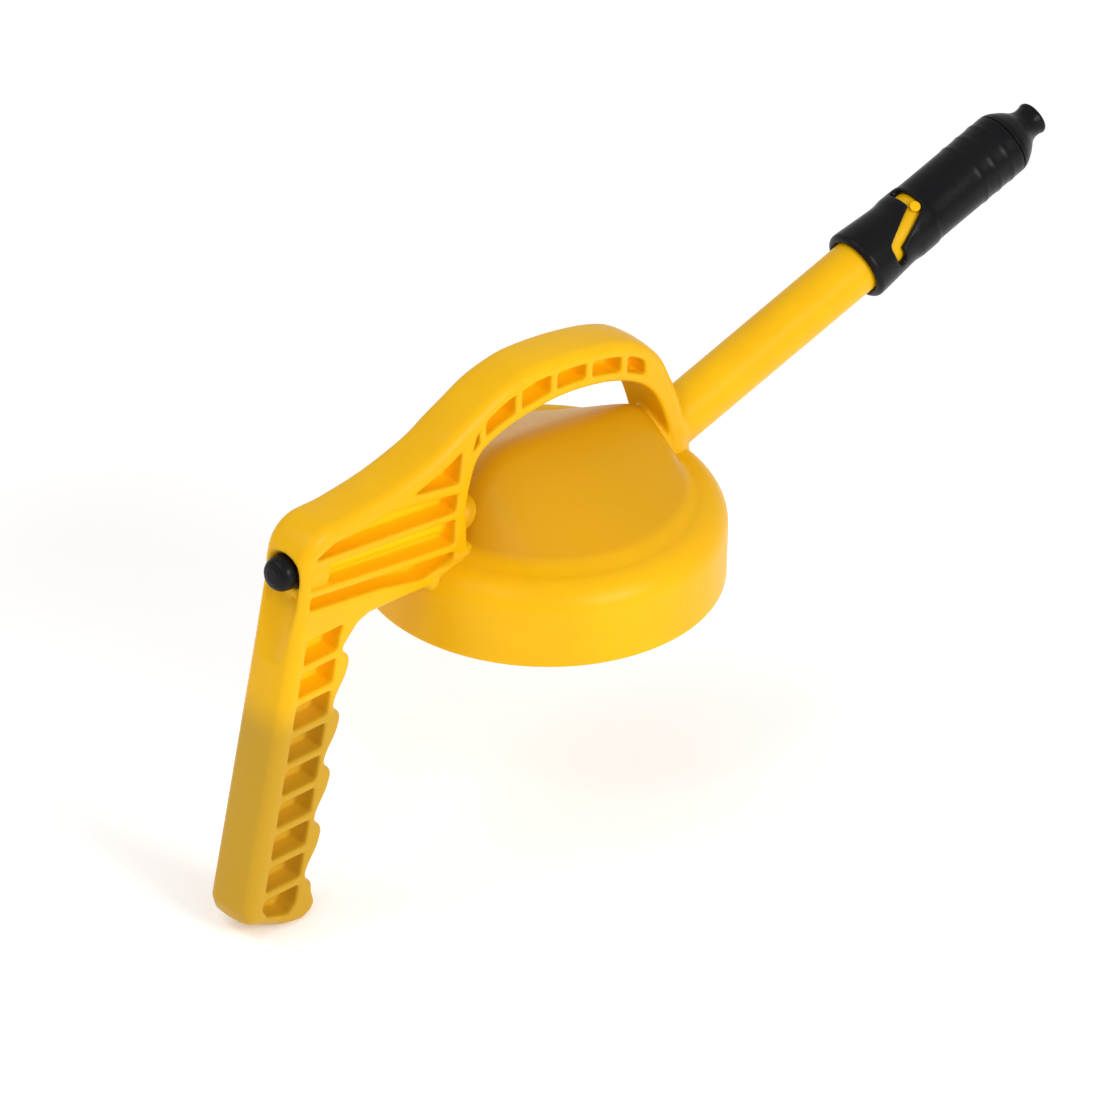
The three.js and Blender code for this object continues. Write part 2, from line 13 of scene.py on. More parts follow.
import bpy
import numpy as np
from mathutils import Matrix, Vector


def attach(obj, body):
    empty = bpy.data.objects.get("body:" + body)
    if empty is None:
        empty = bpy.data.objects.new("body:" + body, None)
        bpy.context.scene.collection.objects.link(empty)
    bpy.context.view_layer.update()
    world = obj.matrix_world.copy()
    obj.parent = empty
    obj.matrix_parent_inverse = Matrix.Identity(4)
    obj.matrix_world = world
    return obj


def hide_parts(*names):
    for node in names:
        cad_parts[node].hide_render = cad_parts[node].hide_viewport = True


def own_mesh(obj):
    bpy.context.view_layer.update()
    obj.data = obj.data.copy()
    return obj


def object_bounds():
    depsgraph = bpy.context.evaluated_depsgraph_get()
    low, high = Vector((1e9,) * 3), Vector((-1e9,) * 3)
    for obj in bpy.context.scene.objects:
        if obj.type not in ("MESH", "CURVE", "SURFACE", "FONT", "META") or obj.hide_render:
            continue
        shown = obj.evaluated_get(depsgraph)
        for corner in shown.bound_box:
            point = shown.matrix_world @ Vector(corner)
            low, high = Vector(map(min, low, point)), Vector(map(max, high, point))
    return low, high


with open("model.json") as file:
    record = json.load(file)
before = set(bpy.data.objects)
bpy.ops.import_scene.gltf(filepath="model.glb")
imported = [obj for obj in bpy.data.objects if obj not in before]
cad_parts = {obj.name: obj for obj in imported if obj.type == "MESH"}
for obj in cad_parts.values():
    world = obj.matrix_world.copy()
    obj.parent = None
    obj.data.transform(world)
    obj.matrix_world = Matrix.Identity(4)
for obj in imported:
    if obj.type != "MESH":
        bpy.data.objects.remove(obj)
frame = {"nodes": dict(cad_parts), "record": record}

cad_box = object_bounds()

# %% [markdown]
# ## From numbers to a mesh
#
# A turned piece is a profile carried round an axis. It could be made with the Spin tool or a Screw
# modifier, but a grid of rings worked out with numpy keeps every point exact and is quick. All
# lengths below are millimetres until the mesh is made, because a moulder thinks in millimetres.

# %% Rings into a closed skin
MM = 0.001
AROUND = 96


def put(name, points, faces):
    """Makes an object at the origin from points in millimetres; faces point outwards.

    Six times the volume is the sum over triangles of a . (b x c); if it is negative, the faces
    run the wrong way round and are reversed."""
    points = np.asarray(points, float)
    triangles = np.vstack([f[:, [0, k, k + 1]] for f in faces for k in range(1, f.shape[1] - 1)])
    a, b, c = (points[triangles[:, k]] for k in range(3))
    if np.einsum("ij,ij->", a, np.cross(b, c)) < 0:
        faces = [f[:, ::-1] for f in faces]
    mesh = bpy.data.meshes.new(name)
    mesh.from_pydata((points * MM).tolist(), [], [row for f in faces for row in f.tolist()])
    mesh.polygons.foreach_set("use_smooth", np.ones(len(mesh.polygons), bool))
    mesh.update()
    piece = bpy.data.objects.new(name, mesh)
    bpy.context.scene.collection.objects.link(piece)
    return piece


def ring_faces(rings, around, first=0, closed=False):
    """Quads between neighbouring rings; the columns wrap, and the rows wrap when closed."""
    rows = np.arange(rings if closed else rings - 1)
    i, j = np.meshgrid(rows, np.arange(around), indexing="ij")
    here, nxt = first + i * around, first + ((i + 1) % rings) * around
    side = (j + 1) % around
    return np.stack([here + j, here + side, nxt + side, nxt + j], -1).reshape(-1, 4)


def skin(name, rows, closed=False):
    """rows[k, j] is point j of ring k. An open skin is shut by a pole at the middle of each end."""
    rows = np.asarray(rows, float)
    count, around = rows.shape[:2]
    if closed:
        return put(name, rows.reshape(-1, 3), [ring_faces(count, around, closed=True)])
    start, end = rows[0].mean(0), rows[-1].mean(0)
    if np.ptp(rows[0], axis=0).max() < 1e-6:
        rows = rows[1:]
    if np.ptp(rows[-1], axis=0).max() < 1e-6:
        rows = rows[:-1]
    count = len(rows)
    j = np.arange(around)
    side = (j + 1) % around
    last = (count - 1) * around
    poles = np.array([[count * around], [count * around + 1]])
    fan_a = np.stack([np.repeat(poles[0], around), side, j], -1)
    fan_b = np.stack([np.repeat(poles[1], around), last + j, last + side], -1)
    points = np.vstack([rows.reshape(-1, 3), start, end])
    return put(name, points, [ring_faces(count, around), np.vstack([fan_a, fan_b])])


# %% [markdown]
# ## Where the spout and the vent rod lie
#
# The spout climbs 17 degrees and the vent rod falls 7.5 degrees towards the dome. Each gets a small
# frame of its own: distance along the axis, then across, then up. A function carries points from
# that frame into the lid's frame, so a profile can be drawn as if its axis were level.

# %% Two tilted axes
SPOUT_TILT = math.radians(17)
SPOUT_HEIGHT = 15.6
VENT_TILT = math.radians(-7.5)
VENT_START = (-126.2, 51.4)
SEAT_FACE = 92.5


class Axis:
    """A tilted line in the plane y = 0, with an origin (x, z) and an upward tilt."""

    def __init__(self, x, z, tilt):
        self.origin = np.array([x, 0.0, z])
        self.along = np.array([math.cos(tilt), 0.0, math.sin(tilt)])
        self.up = np.array([-math.sin(tilt), 0.0, math.cos(tilt)])

    def place(self, along, across, up):
        """origin + along * a + across * y + up * u, for whole arrays."""
        level = along[..., None] * self.along + up[..., None] * self.up + self.origin
        level[..., 1] = across
        return level

    def read(self, x, y, z):
        """The way back: distance along the axis, across it and above it."""
        dx, dz = x - self.origin[0], z - self.origin[2]
        return dx * self.along[0] + dz * self.along[2], y, dx * self.up[0] + dz * self.up[2]


spout_axis = Axis(0, SPOUT_HEIGHT, SPOUT_TILT)
vent_axis = Axis(*VENT_START, VENT_TILT)
lid_axis = Axis(0, 0, math.radians(90))

# %% [markdown]
# ## Rounded outlines
#
# Every turned piece starts as an outline whose corners are rounded, because no moulded or machined
# corner is truly sharp and the rounding is what catches the light.

# %% Rounded outlines, turned
CORNER_STEPS = 4
CORNER_ROOM = 0.36
FLAT_HOLD = 1.3


def rounded(outline, radius, closed):
    """Each corner of an outline becomes a short curve, B + (A - B)(1 - t)^2 + (C - B)t^2.

    The curve may not use more than CORNER_ROOM of either side. A point just past each of its ends
    holds the flats flat when the piece is shaded smooth. Corners of radius 0 and the open ends of a
    line stay as they are."""
    outline = [np.array(p, float) for p in outline]
    count = len(outline)
    radius = np.broadcast_to(radius, count)
    result = []
    for k, corner in enumerate(outline):
        at_end = not closed and k in (0, count - 1)
        if at_end or radius[k] <= 0:
            result.append(corner)
            continue
        before, after = outline[k - 1] - corner, outline[(k + 1) % count] - corner
        room = [min(radius[k], CORNER_ROOM * np.linalg.norm(v)) for v in (before, after)]
        a, c = (v / np.linalg.norm(v) * r for v, r in zip((before, after), room))
        result.append(corner + a * FLAT_HOLD)
        result += [corner + a * (1 - t) ** 2 + c * t ** 2 for t in np.linspace(0, 1, CORNER_STEPS + 1)]
        result.append(corner + c * FLAT_HOLD)
    return np.array(result)


def turned(name, axis, outline, radius=0.3, around=AROUND, closed=True):
    """A profile of (r, s) carried round an axis: s along it, r cos(a) up and r sin(a) across."""
    profile = rounded(outline, radius, closed)
    angle = np.linspace(0, 2 * np.pi, around, endpoint=False)
    r, s = profile[:, :1], profile[:, 1:]
    rows = axis.place(s + 0 * angle, -r * np.sin(angle), r * np.cos(angle))
    piece = skin(name, rows, closed)
    print(f"{name}: {len(profile)} rings of {around}")
    return piece


# %% [markdown]
# ## The dome
#
# The hopper dome is a moulded tent over a round base. Its crest slopes down towards the spout, so
# that the last oil runs out, and its flanks fall nearly straight to the base circle. A sculpted or
# subdivided sphere would not keep that straight crest. One height formula does, and the same formula
# later tells the handle where the dome is.

# %% Height of the dome
DOME_R = 50
DOME_X = 2.5
DOME_BASE = 31.2
CREST_RISE = 24.7
REAR_FALL = 0.128
FRONT_FALL = 0.15
RIDGE_ROUND = 0.12
WALL = 3


def dome_height(x, y):
    """Crest height times one minus a bend of the share y / half width.

    The crest falls in a straight line and dies away at both ends as (1 - share^n)^m. The bend is
    sqrt(u^2 + k^2) - k, which is straight far from the crest and round on it."""
    x = x - DOME_X
    share = np.minimum(np.abs(x) / DOME_R, 1)
    rear = (1 - share ** 4) ** 1.2 * (CREST_RISE - REAR_FALL * x)
    front = (1 - share ** 14) ** 0.9 * (CREST_RISE - FRONT_FALL * x)
    crest = np.where(x < 0, rear, front)
    half = np.sqrt(np.maximum(DOME_R ** 2 - x ** 2, 1e-6))
    across = np.minimum(np.abs(y) / half, 1)
    bend = np.sqrt(across ** 2 + RIDGE_ROUND ** 2) - RIDGE_ROUND
    full = math.sqrt(1 + RIDGE_ROUND ** 2) - RIDGE_ROUND
    return DOME_BASE + crest * (1 - bend / full)


print("crest over the dome's middle:", round(float(dome_height(DOME_X, 0.0)), 1), "mm")

# %% [markdown]
# ## The lid shell
#
# Skirt, shoulder and dome are one blow of plastic, so they are made as one closed skin: rings run
# from the crest out over the dome, through a fillet onto the shoulder, down the skirt, under the rim
# and back up inside to the ceiling. Two lofted shells joined by a Boolean would leave a hard line at
# the dome's foot, where the real moulding has a soft one.

# %% Shell from crest to rim and back
SKIRT_R = 65
SKIRT_BORE_R = 62
SHOULDER_ROUND = 10.5
SHOULDER_FLAT = 30.6
LID_AROUND = 192
DOME_STOP = 0.965
FOOT_R = 53.9
CEILING = 26
LIP_R = 51.5
THROAT_R = 43


def bezier(a, b, c, steps):
    """Points a(1-t)^2 + 2bt(1-t) + ct^2 for whole rings at once."""
    t = np.linspace(0, 1, steps)[:, None, None]
    return a * (1 - t) ** 2 + 2 * b * t * (1 - t) + c * t ** 2


def lid_shell():
    turn = np.linspace(0, 2 * np.pi, LID_AROUND, endpoint=False)
    cos, sin = np.cos(turn), np.sin(turn)

    def ring(radius, z):
        return np.stack([radius * cos, radius * sin, np.broadcast_to(z, turn.shape)], -1)

    def dome_ring(share, inset):
        x, y = DOME_X + DOME_R * share * cos, DOME_R * share * sin
        z = dome_height(x, y) - inset
        shrink = (DOME_R - inset) / DOME_R
        return np.stack([DOME_X + (x - DOME_X) * shrink, y * shrink, z], -1)

    shares = np.sin(np.linspace(0, 1, 46) * np.pi / 2) * DOME_STOP
    outer_dome = [dome_ring(share, 0) for share in shares]
    bend = dome_ring(1, 0) * [1, 1, 0] + [0, 0, SHOULDER_FLAT + 0.5]
    foot = bezier(outer_dome[-1], bend, ring(FOOT_R, SHOULDER_FLAT), 9)
    quarter = np.radians(np.linspace(90, 0, 15))
    edge = np.stack([SKIRT_R - SHOULDER_ROUND * (1 - np.cos(quarter)),
                     SHOULDER_FLAT - SHOULDER_ROUND * (1 - np.sin(quarter))], -1)
    inside = rounded([
        (SKIRT_R, 21), (SKIRT_R, 0), (SKIRT_BORE_R, 0), (SKIRT_BORE_R, CEILING), (LIP_R, CEILING),
        (LIP_R, CEILING - 3), (LIP_R - 4, CEILING - 3), (LIP_R - 4, CEILING + 2), (THROAT_R, CEILING + 2),
    ], 0.7, closed=False)
    turned_rings = [ring(r, z) for r, z in edge] + [ring(r, z) for r, z in inside[1:]]
    ceiling = [dome_ring(share * 0.93, WALL) for share in np.linspace(0.92, 0, 24)]
    rows = np.stack(outer_dome + list(foot[1:]) + turned_rings + ceiling)
    return skin("lid_shell", rows)


shell = lid_shell()
print("lid shell faces:", len(shell.data.polygons))

# %% [markdown]
# ## The neck thread
#
# Two turns of a coarse ridge inside the skirt grip the can's neck. It is a small section carried
# along a helix, and it fades into the wall at both ends, as a moulded thread does so that it starts
# cleanly. A Screw modifier makes the helix but not the fade.

# %% Thread ridge on a helix
THREAD_CREST_R = 59.6
THREAD_ROOT_R = 62.6
THREAD_PITCH = 6.5
THREAD_TURNS = 2
THREAD_LOW = 5.9
THREAD_FADE = 0.55


def neck_thread():
    """Point = (r cos a, r sin a, low + pitch * a / 2pi + dz), with the crest drawn in at the ends."""
    steps = 130 * THREAD_TURNS
    a = np.linspace(0, 2 * np.pi * THREAD_TURNS, steps)[:, None]
    fade = np.clip(np.minimum(a, a[::-1]) / THREAD_FADE, 0, 1)
    fade = fade * fade * (3 - 2 * fade)
    share = np.array([0, 0.55, 0.9, 1, 1, 0.9, 0.55, 0])
    rise = np.array([-1.9, -1.25, -0.85, -0.45, 0.45, 0.85, 1.25, 1.9])
    foot = THREAD_ROOT_R - 0.4
    r = foot - (foot - THREAD_CREST_R) * share * fade
    r[:, [0, -1]] = THREAD_ROOT_R
    z = THREAD_LOW + THREAD_PITCH * a / (2 * np.pi) + rise * (0.35 + 0.65 * fade)
    return skin("neck_thread", np.stack([r * np.cos(a), r * np.sin(a), z], -1))


thread = neck_thread()

# %% [markdown]
# ## The spout
#
# The spout is a plain moulded pipe with two studs near its end that ride in the nozzle's slots, and
# a groove for a sealing ring. The pipe is turned about the spout's axis. Its root runs down through
# the shoulder into the dome.

# %% Pipe and studs
TUBE_R = 9.95
TUBE_BORE_R = 7
NOZZLE_REAR = 156.3
SLOT_FAR = 28.7
SLOT_NEAR = 12.9
STUD_TURN = 26.8
STUD_R = 2
STUD_RISE = 1.7
PIPE_START = 46.5
PIPE_END = 222
GROOVE = NOZZLE_REAR + 50
GROOVE_R = 8.4
GROOVE_LENGTH = 3

spout_pipe = turned("spout_pipe", spout_axis, [
    (TUBE_BORE_R, PIPE_START), (TUBE_R, PIPE_START), (TUBE_R, GROOVE), (GROOVE_R, GROOVE),
    (GROOVE_R, GROOVE + GROOVE_LENGTH), (TUBE_R, GROOVE + GROOVE_LENGTH), (TUBE_R, PIPE_END),
    (TUBE_BORE_R, PIPE_END),
], [0.5, 0.5, 0.3, 0.3, 0.3, 0.3, 0.9, 0.4])


def studs(name):
    """Two domed studs: rings of radius r at height h above the pipe's axis, facing opposite ways."""
    low, high = TUBE_R - 0.8, TUBE_R + STUD_RISE
    r, h = rounded([(0, low), (STUD_R, low), (STUD_R, high), (0, high + 0.05)], 0.45, False).T
    angle = np.linspace(0, 2 * np.pi, 40, endpoint=False)
    pieces = []
    for half in (0, 180):
        turn = math.radians(STUD_TURN + half)
        along = NOZZLE_REAR + SLOT_FAR + r[:, None] * np.cos(angle)
        sideways = r[:, None] * np.sin(angle)
        height = h[:, None] + 0 * angle
        across = -height * math.sin(turn) - sideways * math.cos(turn)
        up = height * math.cos(turn) - sideways * math.sin(turn)
        pieces.append(skin(f"{name}_{len(pieces)}", spout_axis.place(along, across, up)))
    return pieces


spout_studs = studs("spout_stud")

# %% [markdown]
# ## Solid shapes as distance fields
#
# The handle is a flanged, ribbed moulding whose every edge is rounded and whose feet flow into the
# lid. Extruding an outline and bevelling it breaks down where ribs, flanges and feet meet. A signed
# distance field handles this: each simple form is a function that is negative inside, forms are
# joined or cut with a smooth minimum or maximum, and the rounding comes with the join. The zero
# level is then turned into a mesh.

# %% Smooth joins and rounded slabs


def smooth_union(a, b, reach):
    """The lower of two distances, less a quarter of the overlap squared over the reach: a fillet."""
    overlap = np.maximum(reach - np.abs(a - b), 0)
    return np.minimum(a, b) - overlap * overlap / (4 * reach)


def smooth_cut(a, b, reach):
    """a with b taken away; the edge left behind is rounded."""
    return -smooth_union(-a, b, reach)


def rounded_slab(edge, face, radius):
    """Where two walls meet at right angles: distance to the corner's arc, or to the nearer wall."""
    p, q = edge + radius, face + radius
    return np.hypot(np.maximum(p, 0), np.maximum(q, 0)) + np.minimum(np.maximum(p, q), 0) - radius


# %% [markdown]
# The mesh of a zero level has one corner in each small cell that the surface passes through, at the
# mean of the points where it crosses the cell's edges, and one quad round each crossed edge. A few
# Newton steps along the field's slope then bring each corner exactly onto the surface, so that the
# result shades as smoothly as a turned piece.

# %% Zero level into quads
NEWTON_STEPS = 3


def slope(field, points, h=0.05):
    """Central differences of the field along x, y and z."""
    return np.stack([(field(points + h * e) - field(points - h * e)) / (2 * h) for e in np.eye(3)], -1)


def surface_of(name, field, low, high, step):
    """Samples the field on a grid of the given step and returns the piece and its corners."""
    low, high = np.array(low, float), np.array(high, float)
    axes = [np.arange(a, b + step, step) for a, b in zip(low, high)]
    grid = np.stack(np.meshgrid(*axes, indexing="ij"), -1)
    value = field(grid)
    cells = np.array(value.shape) - 1
    total, hits = np.zeros((*cells, 3)), np.zeros(cells)
    crossings = []
    for axis in range(3):
        a = np.moveaxis(value, axis, 0)[:-1]
        b = np.moveaxis(value, axis, 0)[1:]
        crossed = (a < 0) != (b < 0)
        share = np.where(crossed, a / np.where(crossed, a - b, 1), 0)
        point = np.moveaxis(grid, axis, 0)[:-1].copy()
        point[..., axis] += share * step
        sums, marks = np.moveaxis(total, axis, 0), np.moveaxis(hits, axis, 0)
        for p in (0, 1):
            for q in (0, 1):
                window = (slice(None), slice(p, p + sums.shape[1]), slice(q, q + sums.shape[2]))
                sums += np.where(crossed[window][..., None], point[window], 0)
                marks += crossed[window]
        crossings.append((crossed, a < 0))
    number = np.full(cells, -1)
    used = hits > 0
    number[used] = np.arange(used.sum())
    corners = total[used] / hits[used][:, None]
    quads = []
    for axis, (crossed, inside) in enumerate(crossings):
        ids = np.moveaxis(number, axis, 0)
        core = (slice(None), slice(1, -1), slice(1, -1))
        hit, out = crossed[core], inside[core]
        around = [ids[:, :-1, :-1], ids[:, 1:, :-1], ids[:, 1:, 1:], ids[:, :-1, 1:]]
        quad = np.stack([w[hit] for w in around], -1)
        keep = out[hit] if axis != 1 else ~out[hit]
        quads.append(np.where(keep[:, None], quad, quad[:, ::-1]))
    for _ in range(NEWTON_STEPS):
        gradient = slope(field, corners)
        size = np.maximum((gradient ** 2).sum(-1), 0.05)
        move = -(field(corners) / size)[:, None] * gradient
        reach = np.linalg.norm(move, axis=-1, keepdims=True)
        corners = corners + move * np.minimum(1, 0.45 * step / np.maximum(reach, 1e-9))
    piece = put(name, corners, [np.vstack(quads)])
    print(f"{name}: {len(corners)} corners, {2 * sum(len(q) for q in quads)} triangles")
    return piece, corners


# %% [markdown]
# ## The handle's side view
#
# The handle keeps one width all along, so most of it is decided in side view: the outer edge of arch
# and arm, the hand hole, the finger scallops, and the pockets that save plastic between the ribs.
# The edges are smooth curves through a few points. Each outline becomes a small picture of distances
# that the field reads from.

# %% Curves of the side view
HALF_WIDTH = 10.75
WEB_HALF = 2
RIB_WIDTH = 3
RAKE = 0.174
SCALLOP_TOP = 9.5
SCALLOP_PITCH = 22
SCALLOP_DEPTH = 4.6
ARCH_FLANGE = 4.2
ARM_FLANGE = 6
INNER_FLANGE = 3.4
REAR_CORNER = np.array([-112.2, 55.1])
REAR_CORNER_R = 13


def through(points, steps):
    """A Catmull-Rom curve: each span is a cubic, and its end slopes are half its neighbours' chord."""
    p = np.array(points, float)
    p = np.vstack([2 * p[0] - p[1], p, 2 * p[-1] - p[-2]])
    t = np.linspace(0, len(points) - 1, steps + 1)
    k = np.minimum(t.astype(int), len(points) - 2)
    u = (t - k)[:, None]
    a, b, c, d = (p[k + n] for n in range(4))
    square, cube = 2 * a - 5 * b + 4 * c - d, 3 * b - a - 3 * c + d
    return 0.5 * (2 * b + (c - a) * u + square * u ** 2 + cube * u ** 3)


def beside(line, distance):
    """The line moved to its left, with mitred corners."""
    step = np.diff(line, axis=0)
    step /= np.linalg.norm(step, axis=1, keepdims=True)
    arriving, leaving = np.vstack([step[:1], step]), np.vstack([step, step[-1:]])
    middle = arriving + leaving
    middle /= np.linalg.norm(middle, axis=1, keepdims=True)
    reach = distance / (middle * arriving).sum(1, keepdims=True)
    return line + np.stack([-middle[:, 1], middle[:, 0]], -1) * reach


outer_edge = through([
    (61, 33), (58.6, 43), (55.7, 52), (51.6, 61.2), (46.6, 71), (37.4, 80.2), (25.6, 85.8), (7, 90.2),
    (-12, 92.4), (-23, 91.6), (-33, 89.2), (-42, 85), (-51, 80.8), (-61, 75.8), (-80, 70.6), (-100, 68.1),
    (-111, 68.1),
], 64)
corner = np.radians(np.linspace(90, 180, 9))
rear_edge = np.vstack([
    REAR_CORNER + REAR_CORNER_R * np.stack([np.cos(corner), np.sin(corner)], -1),
    [(-126, 46), (-129.6, 24), (-147.8, -78), (-146.2, -82.6), (-131, -88.8)],
])
inner_edge = through([
    (-46.4, 28), (-47.2, 40), (-47.6, 50), (-46.2, 59), (-42.5, 68.6), (-35, 73.2), (-22, 76.2), (-6, 77.4),
    (8, 76), (22, 72.6), (34, 67), (41.4, 60.6), (45.8, 53.4), (49, 45), (51.6, 37), (53, 30),
], 60)
print("outer edge points:", len(outer_edge), "hand hole points:", len(inner_edge))

# %% [markdown]
# The grip's front has five bumps between the fingers. Each bump steps out quickly at its top and
# runs back slowly below, so that a finger slides into place but does not slide out. One short list
# of heights and depths is repeated down the raked front.

# %% Scallops, crotch and butt of the grip


def front_of_grip(z):
    return -102 + (z - SCALLOP_TOP) * RAKE


bump = np.array([(7, 0.95), (4.5, 0.7), (2, 0.12), (-1, 0), (-6, 0.2), (-11, 0.72)])
scallops = np.vstack([
    np.stack([front_of_grip(SCALLOP_TOP - k * SCALLOP_PITCH + bump[:, 0]) - SCALLOP_DEPTH * bump[:, 1],
              SCALLOP_TOP - k * SCALLOP_PITCH + bump[:, 0]], -1)
    for k in range(5)
])[:-2]
finger_edge = through(scallops, 150)
crotch = np.array([(-101.5, 20.5), (-98.5, 23.6), (-93, 25.4), (-80, 25), (-66, 24.2)])
butt = np.array([(-122, -90.2), (-118, -88.4), (-115.8, -85.4)])
handle_outline = np.vstack([
    outer_edge, rear_edge, butt, finger_edge[::-1], crotch, [(-62, 24.2), (-62, 28)], inner_edge[1:],
])
print("grip from", rear_edge[-1], "to", scallops[-1])

# %% [markdown]
# ## Distances on a fine raster
#
# The distance from a point to a polygon is the least distance to its sides, negative inside. Working
# that out for millions of points and a hundred sides would be slow, so it is done once on a raster
# of half a millimetre, and the field reads between its points. A light blur of a distance picture
# leaves straight walls where they are and rounds only the corners, as a cutter does.

# %% Distance pictures
RASTER = 0.5
RASTER_LOW = np.array([-158.0, -98.0])
RASTER_HIGH = np.array([72.0, 100.0])
raster_rows = [np.arange(a, b, RASTER) for a, b in zip(RASTER_LOW, RASTER_HIGH)]
raster_x, raster_z = np.meshgrid(*raster_rows, indexing="ij")


def line_distance(line, x, z, closed=False):
    """For each side the point is dropped onto it, and the share along it is held between 0 and 1."""
    best = np.full(x.shape, np.inf)
    ends = np.roll(line, -1, 0) if closed else line[1:]
    for (ax, az), (bx, bz) in zip(line, ends):
        dx, dz = bx - ax, bz - az
        share = np.clip(((x - ax) * dx + (z - az) * dz) / max(dx * dx + dz * dz, 1e-12), 0, 1)
        best = np.minimum(best, np.hypot(x - ax - share * dx, z - az - share * dz))
    return best


def region_distance(outline, x, z):
    """Line distance with a sign: inside, a ray to the right crosses an odd number of sides."""
    inside = np.zeros(x.shape, bool)
    for (ax, az), (bx, bz) in zip(outline, np.roll(outline, -1, 0)):
        if az != bz:
            inside ^= ((az > z) != (bz > z)) & (x < (bx - ax) * (z - az) / (bz - az) + ax)
    return np.where(inside, -1, 1) * line_distance(outline, x, z, closed=True)


def blurred(picture, times):
    for _ in range(times):
        for axis in (0, 1):
            ahead, behind = np.roll(picture, -1, axis), np.roll(picture, 1, axis)
            picture = 0.5 * picture + 0.25 * (ahead + behind)
    return picture


def read_picture(picture, x, z):
    """The four nearest raster values, mixed by how near each one is."""
    u = np.clip((x - RASTER_LOW[0]) / RASTER, 0, picture.shape[0] - 1.001)
    v = np.clip((z - RASTER_LOW[1]) / RASTER, 0, picture.shape[1] - 1.001)
    i, j = u.astype(int), v.astype(int)
    u, v = u - i, v - j
    low = picture[i, j] * (1 - v) + picture[i, j + 1] * v
    high = picture[i + 1, j] * (1 - v) + picture[i + 1, j + 1] * v
    return low * (1 - u) + high * u


outline_picture = blurred(region_distance(handle_outline, raster_x, raster_z), 3)
print("raster", raster_x.shape)

# %% [markdown]
# ## Pockets and ribs
#
# Both sides of the handle are cored out to a thin middle web, which keeps the walls even so that the
# moulding cools without sinking. Ribs cross the pockets: upright ones in the arch, long ones in the
# arm and a ladder of level ones in the grip. The pockets are three regions with the ribs taken out.

# %% Pocket picture
ARCH_RIBS = (-40.5, -23.5, -6.5, 10.5, 27.5)
GRIP_RIB_TOP = 29.3
GRIP_RIB_PITCH = 12.6
GRIP_RIBS = 9


def rear_of_pocket(z):
    return -122.6 + (z - GRIP_RIB_TOP) * RAKE


def front_of_pocket(z):
    return front_of_grip(z) - SCALLOP_DEPTH - 3


def between(edge, first, last):
    """The stretch of an edge between two x values, in its own order."""
    return edge[(edge[:, 0] < first) & (edge[:, 0] > last)]


upper = between(outer_edge, 48, -47)
lower = inner_edge[(inner_edge[:, 1] > 63)]
arch_pocket = np.vstack([beside(upper, ARCH_FLANGE)[3:-1], beside(lower, INNER_FLANGE)[1:-1]])
arm_pocket = np.vstack([
    beside(between(outer_edge, -52, -120), ARM_FLANGE),
    [(-121.5, 58), (-122.5, 38.5), (-89, 33.6), (-68, 28.6), (-53, 31), (-52.6, 50), (-51.4, 61)],
])
grip_pocket = np.array([
    (rear_of_pocket(GRIP_RIB_TOP), GRIP_RIB_TOP), (rear_of_pocket(-78), -78),
    (rear_of_pocket(-81) + 3, -82), (front_of_pocket(-83) - 3, -85), (front_of_pocket(-81), -81.5),
    (front_of_pocket(14), 14), (-107.5, 22), (-104, GRIP_RIB_TOP),
])


def rib_distance(x, z):
    """Least distance to any rib's middle line, less half its width."""
    lines = [((at, 66), (at, 100)) for at in ARCH_RIBS]
    lines += [((-90, 66.8), (-48, 58.6)), ((-125, 57.1), (-48, 48)), ((-125, 45.6), (-48, 34.6))]
    levels = [GRIP_RIB_TOP - k * GRIP_RIB_PITCH - RIB_WIDTH / 2 for k in range(GRIP_RIBS)]
    lines += [((-150, level), (-95, level)) for level in levels]
    widths = [RIB_WIDTH] * len(lines)
    widths[len(ARCH_RIBS)] = 4
    near = [line_distance(np.array(line), x, z) - width / 2 for line, width in zip(lines, widths)]
    return np.minimum.reduce(near)


regions = [region_distance(outline, raster_x, raster_z) for outline in (arch_pocket, arm_pocket, grip_pocket)]
pocket_picture = np.maximum(np.minimum.reduce(regions), -rib_distance(raster_x, raster_z))
pocket_picture = blurred(pocket_picture, 3)
print("pocket area:", round(float((pocket_picture < 0).sum() * RASTER ** 2)), "square mm a side")

# %% [markdown]
# The outer edge of arch and arm is fully rounded and slightly crowned across its width, so that it
# sits softly in the palm. The hand hole's edge is crisper. Two more pictures say how round an edge is
# and where the crown lies.

# %% Edge rounding and crown
PALM_ROUND = 4.0
HOLE_ROUND = 1.3
FINGER_ROUND = 2.2
CROWN = 1.3
CHANGE_OVER = 6

palm_side = line_distance(np.vstack([outer_edge, rear_edge[:-1]]), raster_x, raster_z)
hole_side = line_distance(inner_edge, raster_x, raster_z)
rest = np.minimum(line_distance(finger_edge, raster_x, raster_z), line_distance(crotch, raster_x, raster_z))
palm_share = np.clip(0.5 + (np.minimum(hole_side, rest) - palm_side) / CHANGE_OVER, 0, 1)
hole_share = np.clip(0.5 + (rest - hole_side) / CHANGE_OVER, 0, 1)
crown_picture = blurred(palm_share * CROWN, 8)
round_picture = FINGER_ROUND + (PALM_ROUND - FINGER_ROUND) * palm_share
round_picture = blurred(round_picture + (HOLE_ROUND - round_picture) * hole_share * (1 - palm_share), 8)

# %% [markdown]
# ## The lid as the handle sees it
#
# The feet of the handle and the root of the spout flow into the lid with a fillet. The handle's
# field therefore needs the lid's outer shape and the pipe's as fields too. Away from the joints the
# filleted skin dips a little under the lid's surface, so that the two never flicker.

# %% Lid and pipe fields


